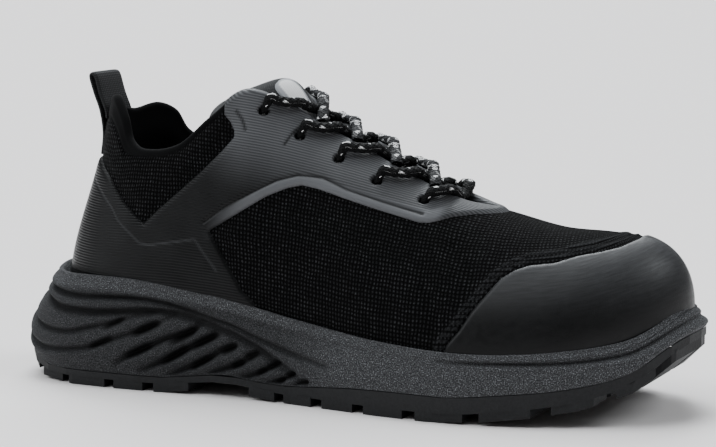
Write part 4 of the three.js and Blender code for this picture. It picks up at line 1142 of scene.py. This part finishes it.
def tongue_material():
    s = Surface("tongue_knit", roughness=0.8, sheen=0.08, specular=0.15)
    uv = s.uv()
    weave = s.math("MULTIPLY", s.waves(uv, 0, 0.9), s.waves(uv, 1, 0.8))
    body = s.ramp(weave, (0.0, greys(0.014)), (1.0, greys(0.034)))
    rim = s.ramp(s.noise(uv, 0.8, 3), (0.3, greys(0.014)), (0.7, greys(0.024)))
    s.colour(s.mix(s.mask("edge"), body, rim))
    s.bump(s.math("MULTIPLY", weave, s.math("SUBTRACT", 1.0, s.mask("edge"))), 0.18)
    return s.material


def label_material():
    s = Surface("blank_label", roughness=0.45, specular=0.5)
    uv = s.uv()
    satin = s.waves(uv, 0, 0.5)
    tone = s.mix(s.mask("oval"), greys(0.3), greys(0.8, (1, 1, 1)))
    s.colour(s.mix(s.math("MULTIPLY", satin, 0.2), tone, greys(0.2)))
    s.bump(satin, 0.05)
    return s.material


def strap_material():
    s = Surface("webbing", roughness=0.75, sheen=0.05, specular=0.15)
    uv = s.uv()
    weave = s.math("MULTIPLY", s.waves(uv, 0, 0.9), s.waves(uv, 1, 1.4))
    tone = s.ramp(weave, (0.0, greys(0.012)), (1.0, greys(0.045)))
    s.colour(s.mix(s.math("MULTIPLY", s.mask("edge"), 0.5), tone, greys(0.006)))
    s.bump(weave, 0.18)
    return s.material


def lace_material(name, base, flecks):
    s = Surface(name, roughness=0.65, specular=0.1)
    skew = s.mapped(s.uv(), turn=0.8)
    one = s.waves(skew, 0, BRAID)
    two = s.waves(skew, 1, BRAID)
    braid = s.math("MAXIMUM", one, two)
    spots = s.node("ShaderNodeTexVoronoi", Scale=0.4)
    s.link(skew, spots.inputs["Vector"])
    chosen = s.ramp(spots.outputs["Color"], (0.0, 0.0), (1 - flecks, 0.0), (1.02 - flecks, 1.0))
    tone = s.ramp(braid, (0.3, greys(base * 0.3)), (1.0, greys(base)))
    s.colour(s.mix(s.math("MULTIPLY", chosen, s.math("POWER", braid, 1.3)), tone, greys(0.85, (1, 1, 1))))
    s.bump(braid, 0.35)
    return s.material


def plain_cad_material(node, material):
    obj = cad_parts[node]
    obj.data.materials.clear()
    obj.data.materials.append(material)


# The shoe
knit = knit_material()
upper = make_upper(knit)
wall_shares = np.concatenate([np.linspace(0.02, 0.9, 120), np.linspace(0.906, 1, 18)])
ribbed = film_material()
plain = toe_material()
quarter = make_film(
    "quarter_film", QUARTER, ribbed, "quarter_overlay", 470, wall_shares, quarter_shape
)
toe_shares = wall_shares[::2]
make_film("toe_film", TOE_CAP, plain, "toe_overlay", 420, toe_shares, toe_shape)
make_midsole(midsole_material())
tongue = make_tongue(tongue_material())
make_label(label_material())
make_strap(strap_material())
dark_lace = lace_material("dark_lace", 0.006, 0.26)
# painted highlight: a lighter, lit copy of the dark lace for the laces that lie over
lace_painted_lit = lace_material("lace_painted_lit", 0.03, 0.3)
make_laces(tree_of([upper, quarter, tongue]), dark_lace, lace_painted_lit)
plain_cad_material("outsole", rubber_material("outsole_rubber", 0.014, 900.0))
plain_cad_material("insole", rubber_material("insole_cloth", 0.003, 1500.0))


# Floor, light and camera; each light has its direction, strength and angular size in degrees
LIGHTS = (
    ("above", (-0.2, 0.25, 1.0), 1.8, 34),
    ("front", (-0.4, -0.5, 0.95), 1.2, 34),
    ("behind", (-0.3, 0.65, 0.7), 2.4, 34),
    ("toe", (0.65, 0.2, 0.72), 1.2, 30),
    ("heel", (-0.8, -0.5, 0.55), 0.8, 30),
)
LIGHT_COLOUR = (0.96, 1.0, 1.03)
FLOOR_SIZE = 80.0
FLOOR_COLOUR = (0.9, 0.87, 0.86, 1)
def make_floor():
    bpy.ops.mesh.primitive_plane_add(size=FLOOR_SIZE, location=(0, 0, 0))
    floor = bpy.context.object
    floor.name = "floor"
    material = bpy.data.materials.new("floor_pale")
    material.use_nodes = True
    shader = material.node_tree.nodes["Principled BSDF"]
    shader.inputs["Base Color"].default_value = FLOOR_COLOUR
    shader.inputs["Roughness"].default_value = 0.9
    shader.inputs["Specular IOR Level"].default_value = 0.0
    floor.data.materials.append(material)


def make_sun(name, towards, strength, spread):
    data = bpy.data.lights.new(name, "SUN")
    data.energy = strength
    data.angle = math.radians(spread)
    data.color = LIGHT_COLOUR
    light = bpy.data.objects.new(name, data)
    light.rotation_euler = (-Vector(towards)).to_track_quat("-Z", "Y").to_euler()
    bpy.context.scene.collection.objects.link(light)


def make_camera(azimuth=24, elevation=8, distance=1.0, width=716, height=447, scale=2380):
    """The camera of the photograph; the shoe's middle is at pixel 355, 246."""
    a, e = math.radians(azimuth), math.radians(elevation)
    back = Vector((math.sin(a) * math.cos(e), -math.cos(a) * math.cos(e), math.sin(e)))
    right = Vector((math.cos(a), math.sin(a), 0))
    up = Vector((-math.sin(a) * math.sin(e), math.cos(a) * math.sin(e), math.cos(e)))
    middle = Vector((152.5 + SHIFT[0], SHIFT[1], 60)) / 1000
    data = bpy.data.cameras.new("camera")
    data.sensor_width = 36
    data.lens = 36 * scale * distance / width
    camera = bpy.data.objects.new("camera", data)
    camera.location = middle + back * distance
    aimed = middle + right * ((width / 2 - 355) / scale) + up * ((246 - height / 2) / scale)
    camera.rotation_euler = (aimed - camera.location).to_track_quat("-Z", "Y").to_euler()
    bpy.context.scene.collection.objects.link(camera)
    bpy.context.scene.camera = camera


make_floor()
for light in LIGHTS:
    make_sun(*light)
world = bpy.data.worlds.new("world")
world.use_nodes = True
world.node_tree.nodes["Background"].inputs["Color"].default_value = (0.75, 0.75, 0.76, 1)
world.node_tree.nodes["Background"].inputs["Strength"].default_value = 0.25
bpy.context.scene.world = world
make_camera()
